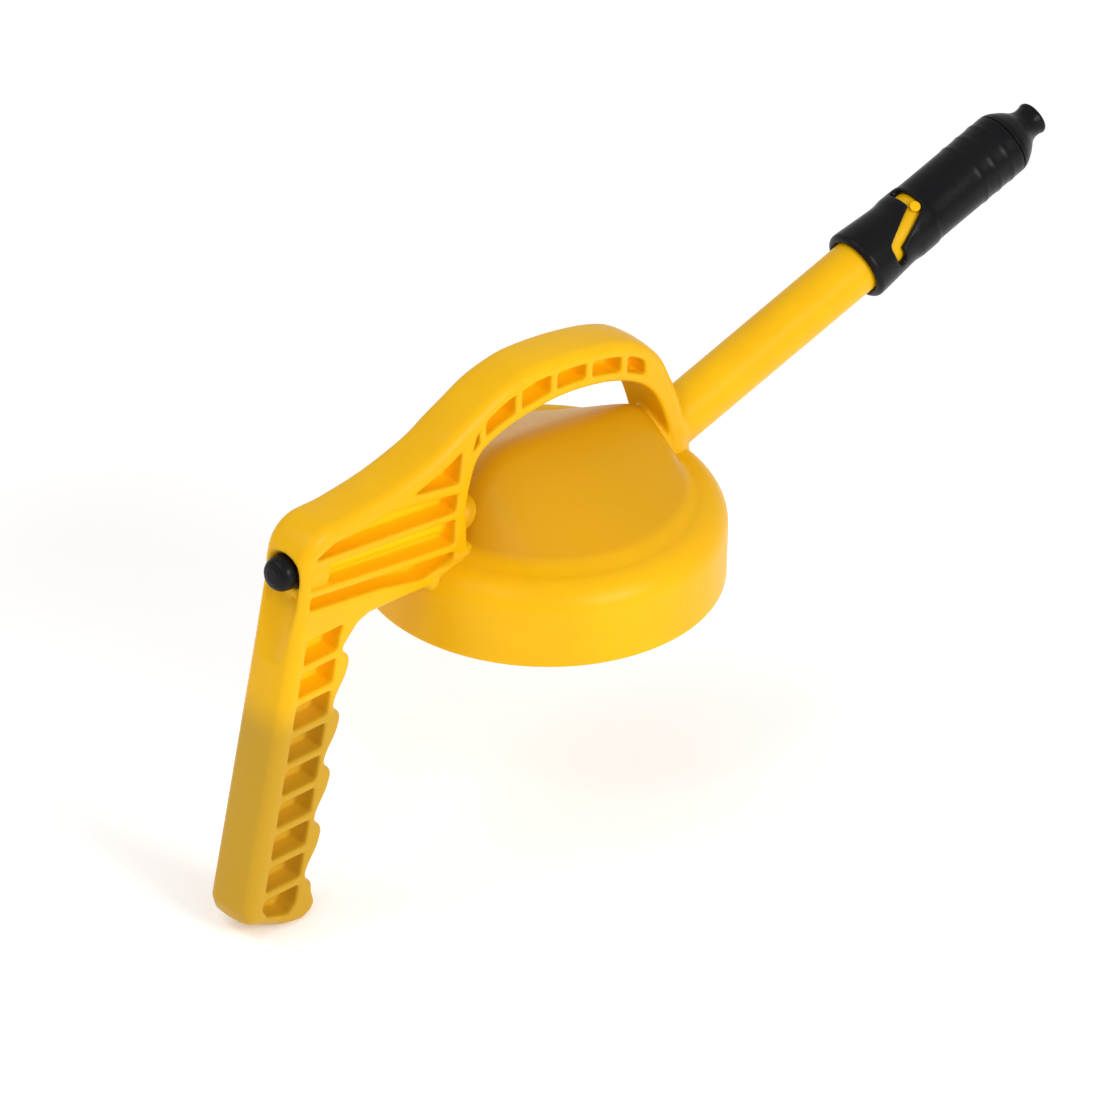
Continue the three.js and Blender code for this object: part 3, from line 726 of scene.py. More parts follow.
def lid_field(x, y, z):
    """A rounded drum joined softly to the dome; the dome's height error is divided by its slope."""
    drum = rounded_slab(np.hypot(x, y) - SKIRT_R, z - SHOULDER_FLAT, SHOULDER_ROUND)
    h = 0.4
    height = dome_height(x, y)
    dx = (dome_height(x + h, y) - dome_height(x - h, y)) / (2 * h)
    dy = (dome_height(x, y + h) - dome_height(x, y - h)) / (2 * h)
    dome = (z - height) / np.sqrt(1 + dx ** 2 + dy ** 2)
    dome = np.maximum(dome, np.hypot(x - DOME_X, y) - DOME_R - 0.5)
    return smooth_union(drum, dome, 1.5)


def pipe_field(x, y, z):
    along, across, up = spout_axis.read(x, y, z)
    return np.maximum(np.hypot(across, up) - TUBE_R, 46 - along)


# %% [markdown]
# ## The handle
#
# Everything comes together here: the rounded, crowned slab, the pockets cut from both sides, the
# tunnel that carries the push rod through the arm, the collar round the rod between leg and dome,
# the thumb scoop at the back with the button's bore, and the fillets onto lid and pipe.

# %% Handle field
SCOOP = np.array([(-140, 61), (-124.2, 58.8), (-121.2, 52), (-122.6, 40), (-131, 18), (-140, 18)])
SCOOP_HALF = 7.8
scoop_picture = blurred(region_distance(SCOOP, raster_x, raster_z), 4)
FILLET = 3.4
SINK_START = 1.8
SINK_SLOPE = 0.5
SKIN_DEPTH = 1.4
DRAFT = 0.03
POCKET_ROUND = 1.1
TUNNEL_R = 4.6
TUNNEL_END = 83
BOSS_R = 9.3
BOSS_END = 14.5
BUTTON_BORE_R = 6.9
BUTTON_BORE_END = 12
COLLAR_R = 4.8
COLLAR_LENGTH = 12
ROD_HOLE_R = 3
JOIN = 1.6
HANDLE_GRID = 0.87


def rod_between(from_rod, along, radius, start, end):
    """A cylinder on the vent's axis: the greatest of its three wall distances."""
    return np.maximum(from_rod - radius, np.maximum(start - along, along - end))


def bare_handle(x, y, z):
    """The handle before it meets lid and pipe."""
    side = np.abs(y)
    crown = read_picture(crown_picture, x, z) * (1 - (side / HALF_WIDTH) ** 2)
    edge = read_picture(outline_picture, x, z) - np.maximum(crown, 0)
    slab = rounded_slab(edge, side - HALF_WIDTH, read_picture(round_picture, x, z))
    draft = DRAFT * (HALF_WIDTH - side)
    pocket = rounded_slab(read_picture(pocket_picture, x, z) + draft, WEB_HALF - side, POCKET_ROUND)
    body = smooth_cut(slab, pocket, POCKET_ROUND)
    along, across, up = vent_axis.read(x, y, z)
    from_rod = np.hypot(across, up)
    tunnel = rod_between(from_rod, along, TUNNEL_R, 4, TUNNEL_END)
    boss = rod_between(from_rod, along, BOSS_R, 0, BOSS_END)
    inside = np.maximum(smooth_union(tunnel, boss, 1.5), slab + 0.6)
    body = smooth_union(body, inside, JOIN)
    collar = rod_between(from_rod, along, COLLAR_R, SEAT_FACE - COLLAR_LENGTH, SEAT_FACE)
    body = smooth_union(body, collar, JOIN)
    scoop = rounded_slab(read_picture(scoop_picture, x, z) + 0.05 * y ** 2, side - SCOOP_HALF, 1.6)
    body = smooth_cut(body, scoop, 1.8)
    bore = np.maximum(from_rod - BUTTON_BORE_R, along - BUTTON_BORE_END)
    return smooth_cut(body, bore, 0.7)


def handle_field(p):
    """The bare handle with its fillets, a thin skin near the joints, bored for the rod."""
    x, y, z = p[..., 0], p[..., 1], p[..., 2]
    bare = bare_handle(x, y, z)
    lid, pipe = lid_field(x, y, z), pipe_field(x, y, z)
    lid_sunk = lid + SINK_SLOPE * np.clip(np.minimum(bare, pipe) - SINK_START, 0, 6)
    pipe_sunk = pipe + SINK_SLOPE * np.clip(np.minimum(bare, lid) - SINK_START, 0, 6)
    joined = smooth_union(bare, smooth_union(lid_sunk, pipe_sunk, FILLET), FILLET)
    near_root = np.maximum(np.abs(lid), np.abs(pipe))
    reach = np.minimum(bare, near_root) - 7
    hollow = np.maximum(-(lid + SKIN_DEPTH), -(pipe + SKIN_DEPTH))
    rod = np.hypot(*vent_axis.read(x, y, z)[1:])
    return np.maximum(np.maximum(joined, reach), np.maximum(hollow, ROD_HOLE_R - rod))


handle, handle_corners = surface_of(
    "handle_moulding", handle_field, (-152, -17.4, -92.2), (75, 17.4, 94.4), HANDLE_GRID)

# %% [markdown]
# ## The nozzle sleeve
#
# The black sleeve turns on the pipe. Two Z-shaped slots through its wall ride on the studs: twisting
# the sleeve along the slanted stretch drives it forward, off the plug. The wall is thin, flared at
# the back, waisted, and has three grip rings near the front. A distance field cuts the slots with
# softly rounded lips, which a Boolean would leave razor sharp.

# %% Sleeve field
SLEEVE_LENGTH = 75
SLEEVE_BORE_R = 10.05
SLOT_HALF = 2.1
SLOT_LOCK = -21
SLOT_OPEN = 62.8
SLOT_END = 83.8
SLEEVE_OUTER = np.array([
    (0, 11.9), (1.4, 13.2), (3.6, 13.25), (9, 12.85), (19, 12.1), (22, 12.2), (24.5, 12.45), (31, 12.35),
    (34.5, 11.95), (52, 11.9), (75, 11.95), (80, 11.95),
])
RING_PLACES = (56, 62.5, 69)
RING_RISE = 0.2
RING_SPREAD = 0.9
SLEEVE_GRID = 0.55
sleeve_curve = through(SLEEVE_OUTER, 300)
slot_turns = np.radians([SLOT_LOCK, STUD_TURN, SLOT_OPEN, SLOT_END])
slot_line = np.stack([slot_turns * TUBE_R, [SLOT_FAR, SLOT_FAR, SLOT_NEAR, SLOT_NEAR]], -1)


def sleeve_radius(u):
    """The flared and waisted wall, plus a bell-shaped ridge at each grip ring."""
    rings = sum(RING_RISE * np.exp(-((u - at) / RING_SPREAD) ** 2) for at in RING_PLACES)
    return np.interp(u, sleeve_curve[:, 0], sleeve_curve[:, 1]) + rings


def sleeve_field(p):
    """The wall and its two slots: folding the turn into half a circle makes the two alike."""
    along, across, up = spout_axis.read(p[..., 0], p[..., 1], p[..., 2])
    u, r = along - NOZZLE_REAR, np.hypot(across, up)
    turn = np.degrees(np.arctan2(-across, up))
    middle = (SLOT_LOCK + SLOT_END) / 2
    turn = (turn - middle + 90) % 180 - 90 + middle
    past_end = np.abs(u - SLEEVE_LENGTH / 2) - SLEEVE_LENGTH / 2
    outside = rounded_slab(r - sleeve_radius(u), past_end, 0.9)
    mouth = 0.9 * np.clip(1.4 - u, 0, 1.4)
    wall = np.maximum(outside, SLEEVE_BORE_R + mouth - r)
    slot = line_distance(slot_line, np.radians(turn) * TUBE_R, u) - SLOT_HALF
    return smooth_cut(wall, slot, 0.8)


sleeve_ends = spout_axis.place(np.array([0, SLEEVE_LENGTH]) + NOZZLE_REAR, 0, np.zeros(2))
sleeve, _ = surface_of(
    "twist_sleeve", sleeve_field, sleeve_ends[0] - [5, 14.2, 14], sleeve_ends[1] + [5, 14.2, 14], SLEEVE_GRID)

# %% [markdown]
# ## Nozzle tip, plug and seals
#
# The rest of the nozzle is turned work: a tip pressed into the sleeve, a plug on a stem that stands
# still while the tip slides off it, a sealing ring in the pipe's groove and a wiper behind the rim.
# Small radii on every corner catch the light as moulded edges do.

# %% Turned pieces along the spout


def from_rear(points):
    """Distances measured from the nozzle's rear rim."""
    return [(r, u + NOZZLE_REAR) for r, u in points]


tip = turned("nozzle_mouth", spout_axis, from_rear([
    (11.95, 75.05), (11.5, 77.2), (9.4, 80.8), (6.8, 84), (5.8, 86.4), (5.8, 88.8), (6.3, 90.4), (5.9, 91.4),
    (4.3, 91.4), (4.3, 79.4), (8.2, 74), (8.2, 67.5), (9.95, 67.5), (9.95, 75.05),
]), [0.3, 1.4, 1.2, 1.2, 0.9, 0.8, 0.5, 0.4, 0.4, 1, 1, 0.3, 0.3, 0.1])
wiper = turned("dust_wiper", spout_axis, from_rear([
    (TUBE_R + 0.02, 3.1), (11.1, 3.1), (11.1, 5.5), (TUBE_R + 0.02, 5.5),
]), 0.3)
plug_stem = turned("plug_stem", spout_axis, [
    (0, 209), (2.5, 210), (2.5, 236), (4, 238), (4, 239), (3.1, 239), (3.1, 241.5), (4, 241.5), (4, 242.4),
    (2.4, 244), (0, 244.6),
], 0.35, closed=False)
plug_ring = turned("plug_ring", spout_axis, [(5.3, 208), (6.85, 208), (6.85, 218), (5.3, 218)], 0.35)


def ring_seal(name, axis, inner, outer, start, end):
    """A ring of oval section: r = middle + half width * cos a and s = middle + half length * sin a."""
    a = np.linspace(0, 2 * np.pi, 24, endpoint=False)
    r = (inner + outer) / 2 + (outer - inner) / 2 * np.cos(a)
    s = (start + end) / 2 + (end - start) / 2 * np.sin(a)
    return turned(name, axis, np.stack([r, s], -1), 0)


pipe_seal = ring_seal("pipe_seal_ring", spout_axis, 8.45, 10, GROOVE + 0.1, GROOVE + GROOVE_LENGTH - 0.1)
tip_seal = ring_seal("plug_seal_ring", spout_axis, 3.15, 4.25, 239.05, 241.45)


def plug_spokes(name):
    """Three flat fins from stem to ring: an oval section swept outwards from r = 2 to r = 6."""
    a = np.linspace(0, 2 * np.pi, 28, endpoint=False)
    along = 213 + 3.4 * np.sign(np.cos(a)) * np.abs(np.cos(a)) ** 0.45
    thick = 0.8 * np.sign(np.sin(a)) * np.abs(np.sin(a)) ** 0.6
    out = np.linspace(1.6, 6.2, 8)[:, None]
    pieces = []
    for k in range(3):
        turn = k * 2 * math.pi / 3
        across = -out * math.sin(turn) - thick * math.cos(turn)
        up = out * math.cos(turn) - thick * math.sin(turn)
        pieces.append(skin(f"{name}_{k}", spout_axis.place(along + 0 * out, across, up)))
    return pieces


spokes = plug_spokes("plug_spoke")

# %% [markdown]
# ## The thumb vent
#
# A black button in the scoop pushes a steel rod through the arm. The rod lifts a small brass valve
# inside the dome, so that air can follow the oil out. All of it is turned work on the vent's axis.
# The button's crown is gently domed with a shallow ring, where the thumb rests.

# %% Button, rod and valve
POCKET_FLOOR = 11.9
button = turned("vent_button", vent_axis, [
    (0, -5.2), (3.0, -5.05), (3.5, -4.75), (4.1, -4.75), (5.2, -4.1), (6.2, -2.5), (6.5, -0.4), (6.5, 6),
    (4.9, 6), (4.9, 1), (2.1, 1), (2.1, -1), (0, -1),
], [0, 0.6, 0.4, 0.4, 1, 1.2, 0.9, 0.5, 0.3, 0.3, 0.1, 0.1, 0], closed=False)
push_rod = turned("push_rod", vent_axis, [
    (0, -0.9), (2, -0.9), (2, 98.7), (1.5, 98.7), (1.5, 99.5), (2, 99.5), (2, 100.2), (1.4, 100.8),
    (0, 100.8),
], 0.2, closed=False, around=48)
guide = turned("rod_bush", vent_axis, [
    (2.06, POCKET_FLOOR - 1.2), (4.7, POCKET_FLOOR - 1.2), (4.7, POCKET_FLOOR), (2.9, POCKET_FLOOR),
    (2.9, POCKET_FLOOR + 7), (2.06, POCKET_FLOOR + 7),
], 0.25, around=48)
seat_ring = turned("valve_seat", vent_axis, [
    (3.3, SEAT_FACE - 3.9), (5, SEAT_FACE - 3.9), (5, SEAT_FACE + 0.7), (3.3, SEAT_FACE + 0.7),
], 0.3, around=64)
valve_seal = turned("valve_washer", vent_axis, [
    (2.06, SEAT_FACE + 0.75), (5.8, SEAT_FACE + 0.75), (5.8, SEAT_FACE + 2.1), (2.06, SEAT_FACE + 2.1),
], 0.35, around=64)
valve_head = turned("valve_head", vent_axis, [
    (2.06, SEAT_FACE + 2.1), (6.2, SEAT_FACE + 2.1), (6.2, SEAT_FACE + 3.7), (5.4, SEAT_FACE + 4.5),
    (3.4, SEAT_FACE + 4.5), (3.4, SEAT_FACE + 6.1), (2.06, SEAT_FACE + 6.1),
], 0.35, around=64)
valve_boss = turned("valve_boss", vent_axis, [
    (ROD_HOLE_R, SEAT_FACE - 10), (4.3, SEAT_FACE - 10), (4.3, SEAT_FACE - 3.4), (6.1, SEAT_FACE - 2.4),
    (6.1, SEAT_FACE), (5.1, SEAT_FACE), (5.1, SEAT_FACE - 4), (ROD_HOLE_R, SEAT_FACE - 4),
], 0.3, around=64)

# %% [markdown]
# ## Spring and clip
#
# The button's spring is a wire carried along a helix, with its ends closed flat as real spring ends
# are. The clip that holds the valve on the rod is an open ring snapped into a groove. It is a flat
# section swept round most of a circle.

# %% Helix and open ring
SPRING_START = 1.5
SPRING_END = 10.4
SPRING_TURNS = 4.5
SPRING_COIL_R = 3.6
SPRING_WIRE_R = 0.42


def coil_spring():
    """A circle of wire carried along (s, R cos a, R sin a); s rises slowly at both ends."""
    share = np.linspace(0, 1, 200)[:, None]
    rise = share - np.sin(4 * np.pi * share) / (4 * np.pi) * 0.75
    a = 2 * np.pi * SPRING_TURNS * share
    b = np.linspace(0, 2 * np.pi, 14, endpoint=False)
    low, high = SPRING_START + SPRING_WIRE_R, SPRING_END - SPRING_WIRE_R
    s = low + (high - low) * rise + SPRING_WIRE_R * np.sin(b)
    r = SPRING_COIL_R + SPRING_WIRE_R * np.cos(b)
    return skin("button_coil", vent_axis.place(s, r * np.sin(a), r * np.cos(a)))


def snap_clip():
    """A flat rounded section swept round 300 degrees, open downwards."""
    a = np.radians(np.linspace(-150, 150, 70))[:, None]
    section = rounded([(1.56, 98.78), (3.5, 98.78), (3.5, 99.38), (1.56, 99.38)], 0.15, True)
    r, s = section[:, 0], section[:, 1]
    return skin("rod_snap_clip", vent_axis.place(s + 0 * a, r * np.sin(a), r * np.cos(a)))


spring = coil_spring()
clip = snap_clip()

# %% [markdown]
# ## The neck gasket
#
# A flat rubber ring under the lid's ceiling seals on the can's rim. It is turned about the lid's
# axis, with a pair of fine grooves on the face that meets the rim.

# %% Gasket with sealing grooves
SEAL_FACE = 23.4
SEAL_TOP = 25.9
SEAL_INNER_R = 52
SEAL_OUTER_R = 61.7
GROOVE_DEPTH = 0.3


def fine_groove(start):
    return [(start, SEAL_FACE), (start + 0.3, SEAL_FACE + GROOVE_DEPTH),
            (start + 0.8, SEAL_FACE + GROOVE_DEPTH), (start + 1.1, SEAL_FACE)]


gasket = turned("neck_seal", lid_axis, [
    (SEAL_INNER_R, SEAL_FACE), *fine_groove(55.4), *fine_groove(57.6), (SEAL_OUTER_R, SEAL_FACE),
    (SEAL_OUTER_R, SEAL_TOP), (SEAL_INNER_R, SEAL_TOP),
], 0.2, around=LID_AROUND)

# %% [markdown]
# ## What each piece stands for
#
# Every piece rides on the CAD body that it belongs to, stands for the CAD node that it improves on,
# and takes its finish from one of the record's slots.

# %% Ride, replace and slot
pieces = [
    (shell, "lid", "yellow_moulding", ("lid_cap", "hopper_dome")),
    (thread, "lid", "yellow_moulding", ()),
    (valve_boss, "lid", "yellow_moulding", ()),
    (handle, "lid", "yellow_moulding", ("handle_arch", "handle_arm", "grip")),
    (spout_pipe, "lid", "yellow_moulding", ("spout_tube",)),
    (gasket, "lid", "seal_rubber", ("neck_gasket",)),
    (plug_stem, "lid", "black_moulding", ("valve_plug",)),
    (plug_ring, "lid", "black_moulding", ()),
    (tip_seal, "lid", "seal_rubber", ("plug_seal",)),
    (pipe_seal, "lid", "seal_rubber", ("spout_seal",)),
    (guide, "lid", "black_moulding", ("rod_guide",)),
    (seat_ring, "lid", "valve_brass", ("vent_seat_ring",)),
    (spring, "lid", "spring_steel", ("button_spring",)),
    (wiper, "wiper", "seal_rubber", ("sleeve_wiper",)),
    (sleeve, "nozzle", "black_moulding", ("nozzle_sleeve",)),
    (tip, "nozzle", "black_moulding", ("nozzle_tip",)),
    (button, "vent", "black_moulding", ("thumb_button",)),
    (push_rod, "vent", "spring_steel", ("vent_rod",)),
    (valve_seal, "vent", "seal_rubber", ("vent_valve_seal",)),
    (valve_head, "vent", "valve_brass", ("vent_valve_head",)),
    (clip, "vent", "spring_steel", ("rod_clip",)),
]
pieces += [(stud, "lid", "yellow_moulding", ()) for stud in spout_studs]
pieces += [(spoke, "lid", "black_moulding", ()) for spoke in spokes]
for piece, body, slot, nodes in pieces:
    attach(piece, body)
    if nodes:
        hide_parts(*nodes)
print("pieces:", len(pieces))

# %% [markdown]
# ## The spring's foot
#
# When the button goes in, its spring shortens against the floor of the bore. Here the spring rides on the
# lid;
# the place of its foot on the rod's axis is worked out, and the spring gets a mesh of its own.

# %% The spring's foot and its own mesh
spring_foot = vent_axis.place(np.array([SPRING_END]), 0, np.array([0.0]))[0] * MM
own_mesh(spring)

# %% [markdown]
# ## Node groups for moulded and handled surfaces
#
# Three effects turn up in several finishes: a slow drift of tone through the plastic, the fine grain
# of the mould, and the rubbing of edges and hands. Each is a node group with named inputs, built once
# and used with different values. They read Object coordinates, so nothing slides when a joint moves.

# %% Tools for building groups


def new_group(name, inputs, outputs):
    """A group of number sockets: inputs maps each label to its default."""
    group = bpy.data.node_groups.new(name, "ShaderNodeTree")
    for label, value in inputs.items():
        socket = group.interface.new_socket(label, in_out="INPUT", socket_type="NodeSocketFloat")
        socket.default_value = value
    for label in outputs:
        group.interface.new_socket(label, in_out="OUTPUT", socket_type="NodeSocketFloat")
    return group, group.nodes.new("NodeGroupInput"), group.nodes.new("NodeGroupOutput")


def feed(tree, socket, value):
    """A number sets the socket and a colour does too; another node's socket is linked to it."""
    if isinstance(value, tuple):
        socket.default_value = (*value, 1)
    elif isinstance(value, (int, float)):
        socket.default_value = value
    else:
        tree.links.new(value, socket)


def math_node(tree, operation, a, b, clamp=False):
    """A Math node on two numbers or sockets."""
    node = tree.nodes.new("ShaderNodeMath")
    node.operation = operation
    node.use_clamp = clamp
    for socket, value in zip(node.inputs, (a, b)):
        feed(tree, socket, value)
    return node.outputs[0]


def noise(tree, place, scale, detail=3.0, rough=0.5):
    node = tree.nodes.new("ShaderNodeTexNoise")
    node.inputs["Detail"].default_value = detail
    node.inputs["Roughness"].default_value = rough
    feed(tree, node.inputs["Vector"], place)
    feed(tree, node.inputs["Scale"], scale)
    return node.outputs["Fac"]


def spread(tree, value, low, high, to_low=0.0, to_high=1.0):
    """Map Range: stretches the span low..high over to_low..to_high, and holds the ends."""
    node = tree.nodes.new("ShaderNodeMapRange")
    node.interpolation_type = "SMOOTHSTEP"
    labels = ("Value", "From Min", "From Max", "To Min", "To Max")
    for label, given in zip(labels, (value, low, high, to_low, to_high)):
        feed(tree, node.inputs[label], given)
    return node.outputs["Result"]


def object_place(tree):
    return tree.nodes.new("ShaderNodeTexCoord").outputs["Object"]


# %% Tone drift, mould grain and rubbing


def tone_drift():
    """A wide noise with a little of a finer one in it."""
    group, given, out = new_group("tone_drift", {"Scale": 14.0}, ["Mask"])
    place = object_place(group)
    wide = noise(group, place, given.outputs["Scale"], 2.0)
    fine = noise(group, place, math_node(group, "MULTIPLY", given.outputs["Scale"], 7.0), 4.0)
    wide, fine = math_node(group, "MULTIPLY", wide, 0.75), math_node(group, "MULTIPLY", fine, 0.25)
    mixed = math_node(group, "ADD", wide, fine)
    group.links.new(spread(group, mixed, 0.36, 0.64), out.inputs["Mask"])
    return group


def mould_grain():
    """A fine noise over a slow wave, as height, and the fine noise alone, as speckle."""
    group, given, out = new_group("mould_grain", {"Scale": 900.0, "Waviness": 0.5}, ["Height", "Speckle"])
    place = object_place(group)
    grain = noise(group, place, given.outputs["Scale"], 3.0, 0.6)
    wave = noise(group, place, math_node(group, "MULTIPLY", given.outputs["Scale"], 0.09), 1.0)
    high = math_node(group, "ADD", math_node(group, "MULTIPLY", grain, 0.25),
                     math_node(group, "MULTIPLY", wave, given.outputs["Waviness"]))
    group.links.new(high, out.inputs["Height"])
    group.links.new(grain, out.inputs["Speckle"])
    return group


def rubbed():
    """Outward edges broken up by noise, and scuffs from a noise stretched one way."""
    inputs = {"Scratch scale": 60.0, "Edge low": 0.5, "Edge high": 0.56}
    group, given, out = new_group("rubbed", inputs, ["Edges", "Scuffs"])
    place = object_place(group)
    bent = group.nodes.new("ShaderNodeNewGeometry").outputs["Pointiness"]
    edge = group.nodes.new("ShaderNodeMapRange")
    group.links.new(bent, edge.inputs["Value"])
    group.links.new(given.outputs["Edge low"], edge.inputs["From Min"])
    group.links.new(given.outputs["Edge high"], edge.inputs["From Max"])
    broken = noise(group, place, 220.0, 3.0)
    rub = math_node(group, "MULTIPLY", edge.outputs["Result"], broken, clamp=True)
    group.links.new(rub, out.inputs["Edges"])
    stretch = group.nodes.new("ShaderNodeMapping")
    stretch.inputs["Scale"].default_value = (0.3, 5.0, 1.0)
    stretch.inputs["Rotation"].default_value = (0.3, 0.5, 0.7)
    group.links.new(place, stretch.inputs["Vector"])
    lines = noise(group, stretch.outputs["Vector"], given.outputs["Scratch scale"], 6.0, 0.7)
    group.links.new(spread(group, lines, 0.6, 0.75), out.inputs["Scuffs"])
    return group


GROUPS = {"drift": tone_drift(), "grain": mould_grain(), "rub": rubbed()}

# %% [markdown]
# ## One finish builder
#
# A finish is a Principled shader whose colour mixes two near tones by the drift, lightens at rubbed
# edges, and whose roughness and bump come from the grain and scuffs. Values that are the same all
# over, such as metalness and gloss, are set on the shader itself.

# %% Finish from a short recipe
EDGE_LOW = 0.52
EDGE_HIGH = 0.6
SCUFF_ROUGHNESS = 0.12
BUMP_HEIGHT = 0.0004


def use_group(tree, key, **values):
    node = tree.nodes.new("ShaderNodeGroup")
    node.node_tree = GROUPS[key]
    for label, value in values.items():
        node.inputs[label.replace("_", " ")].default_value = value
    return node


def mix_colour(tree, share, a, b):
    """Mixes two colours; each is a tuple or a socket."""
    node = tree.nodes.new("ShaderNodeMix")
    node.data_type = "RGBA"
    tree.links.new(share, node.inputs[0])
    feed(tree, node.inputs[6], a)
    feed(tree, node.inputs[7], b)
    return node.outputs[2]


def finish(name, tone, deep, edge, rough, bump, grain, drift, metal=0.0, gloss=0.5):
    """Returns the material, its tree, the shader and the colour socket that a next step may build on."""
    material = bpy.data.materials.new(name)
    material.use_nodes = True
    tree = material.node_tree
    shader = tree.nodes["Principled BSDF"]
    drifted = use_group(tree, "drift", Scale=drift)
    grained = use_group(tree, "grain", Scale=grain)
    worn = use_group(tree, "rub", Edge_low=EDGE_LOW, Edge_high=EDGE_HIGH)
    colour = mix_colour(tree, drifted.outputs["Mask"], tone, deep)
    colour = mix_colour(tree, worn.outputs["Edges"], colour, edge)
    tree.links.new(colour, shader.inputs["Base Color"])
    scuffed = math_node(tree, "MULTIPLY", worn.outputs["Scuffs"], SCUFF_ROUGHNESS)
    speckled = spread(tree, grained.outputs["Speckle"], 0.3, 0.7, rough - 0.04, rough + 0.05)
    tree.links.new(math_node(tree, "ADD", speckled, scuffed, clamp=True), shader.inputs["Roughness"])
    bumped = tree.nodes.new("ShaderNodeBump")
    bumped.inputs["Strength"].default_value = bump
    bumped.inputs["Distance"].default_value = BUMP_HEIGHT
    tree.links.new(grained.outputs["Height"], bumped.inputs["Height"])
    tree.links.new(bumped.outputs["Normal"], shader.inputs["Normal"])
    shader.inputs["Metallic"].default_value = metal
    shader.inputs["Specular IOR Level"].default_value = gloss
    return material, tree, shader, colour


# %% [markdown]
# ## Golden polyethylene
#
# The plastic is satin and a little translucent. Inside the pockets it is painted a deeper orange and
# made to glow faintly: painted bounce light, which stands in for light bouncing about in them. The dome
# is painted a deeper amber, a painted shade for the shade under the handle's arch, and the lower half
# of the grip is a duller ochre. Subsurface gives the translucence. The pocket tone comes from an
# attribute that the handle carries, measured from its own field; the dome's shade and the ochre fade in with
# height.

# %% Pocket attribute and the yellow finishes
# How deep a point lies in a pocket; it drives the painted bounce light and painted glow of the pockets.
from_wall = read_picture(pocket_picture, handle_corners[:, 0], handle_corners[:, 2])
pocket_depth = np.clip(-from_wall / 1.2 + 0.4, 0, 1)
pocket_depth *= np.clip((HALF_WIDTH - 1.2 - np.abs(handle_corners[:, 1])) / 5, 0, 1)
layer = handle.data.attributes.new("pocket_depth", "FLOAT", "POINT")
layer.data.foreach_set("value", pocket_depth.astype(np.float32))

GOLD = (0.82, 0.45, 0.002)
GOLD_DEEP = (0.78, 0.41, 0.002)
GOLD_EDGE = (0.89, 0.53, 0.02)
# Painted light: the pockets' warmer orange and their glow stand in for light bouncing inside them; the lower
# grip's pockets glow ochre.
POCKET_PAINTED_LIGHT = (0.84, 0.455, 0.003)
OCHRE = (0.48, 0.275, 0.018)
POCKET_PAINTED_GLOW = 0.35
LOW_PAINTED_GLOW = 0.32
# Painted shade: the dome's deeper amber stands in for shade on the dome under the handle's arch.
DOME_PAINTED_SHADE = (0.61, 0.30, 0.005)
OCHRE_START, OCHRE_FULL = 0.006, -0.012
DOME_SHADE_START, DOME_SHADE_FULL = 0.0305, 0.034


def gold(name):
    material, tree, shader, colour = finish(
        name, GOLD, GOLD_DEEP, GOLD_EDGE, rough=0.36, bump=0.12, grain=700.0, drift=16.0, gloss=0.15)
    shader.inputs["Subsurface Weight"].default_value = 0.1
    shader.inputs["Subsurface Radius"].default_value = (1.0, 0.45, 0.05)
    shader.inputs["Subsurface Scale"].default_value = 0.004
    shader.inputs["IOR"].default_value = 1.5
    return material, tree, shader, colour


def by_height(tree, low, high, to_low, to_high):
    """A value that changes with height on the object, between two levels in metres."""
    split = tree.nodes.new("ShaderNodeSeparateXYZ")
    tree.links.new(object_place(tree), split.inputs[0])
    return spread(tree, split.outputs["Z"], low, high, to_low, to_high)


def handle_gold_painted_light():
    """Painted bounce light in the pockets, as a warmer orange and a glow; ochre towards the grip's butt."""
    material, tree, shader, colour = gold("golden_polyethylene_handle_painted_light")
    depth = tree.nodes.new("ShaderNodeAttribute")
    depth.attribute_name = "pocket_depth"
    # Painted bounce light: deeper in a pocket the colour turns a warmer orange and glows.
    inner = mix_colour(tree, math_node(tree, "MULTIPLY", depth.outputs["Fac"], 0.75), colour, POCKET_PAINTED_LIGHT)
    inner = mix_colour(tree, by_height(tree, OCHRE_START, OCHRE_FULL, 0.0, 0.8), inner, OCHRE)
    tree.links.new(inner, shader.inputs["Base Color"])
    lit = mix_colour(tree, depth.outputs["Fac"], (0.0, 0.0, 0.0), inner)
    tree.links.new(lit, shader.inputs["Emission Color"])
    glow = by_height(tree, OCHRE_START, OCHRE_FULL, POCKET_PAINTED_GLOW, LOW_PAINTED_GLOW)
    tree.links.new(glow, shader.inputs["Emission Strength"])
    return material


def shell_gold_painted_shade():
    """The dome holds a painted shade, a deeper amber; it fades in over the fillet at the dome's foot."""
    material, tree, shader, colour = gold("golden_polyethylene_shell_painted_shade")
    # Painted shade: the dome darkens to amber above the shoulder.
    high = by_height(tree, DOME_SHADE_START, DOME_SHADE_FULL, 0.0, 0.85)
    tree.links.new(mix_colour(tree, high, colour, DOME_PAINTED_SHADE), shader.inputs["Base Color"])
    return material


yellow = gold("golden_polyethylene")[0]
yellow_shell_painted_shade = shell_gold_painted_shade()
yellow_handle_painted_light = handle_gold_painted_light()

# %% [markdown]
# ## Black plastic, rubber, steel and brass
#
# The nozzle and button are satin black plastic with a soft sheen and slightly greyed edges. Rubber is
# duller and rougher. The rod and spring are drawn steel and the valve is turned brass, both slightly
# uneven in roughness.

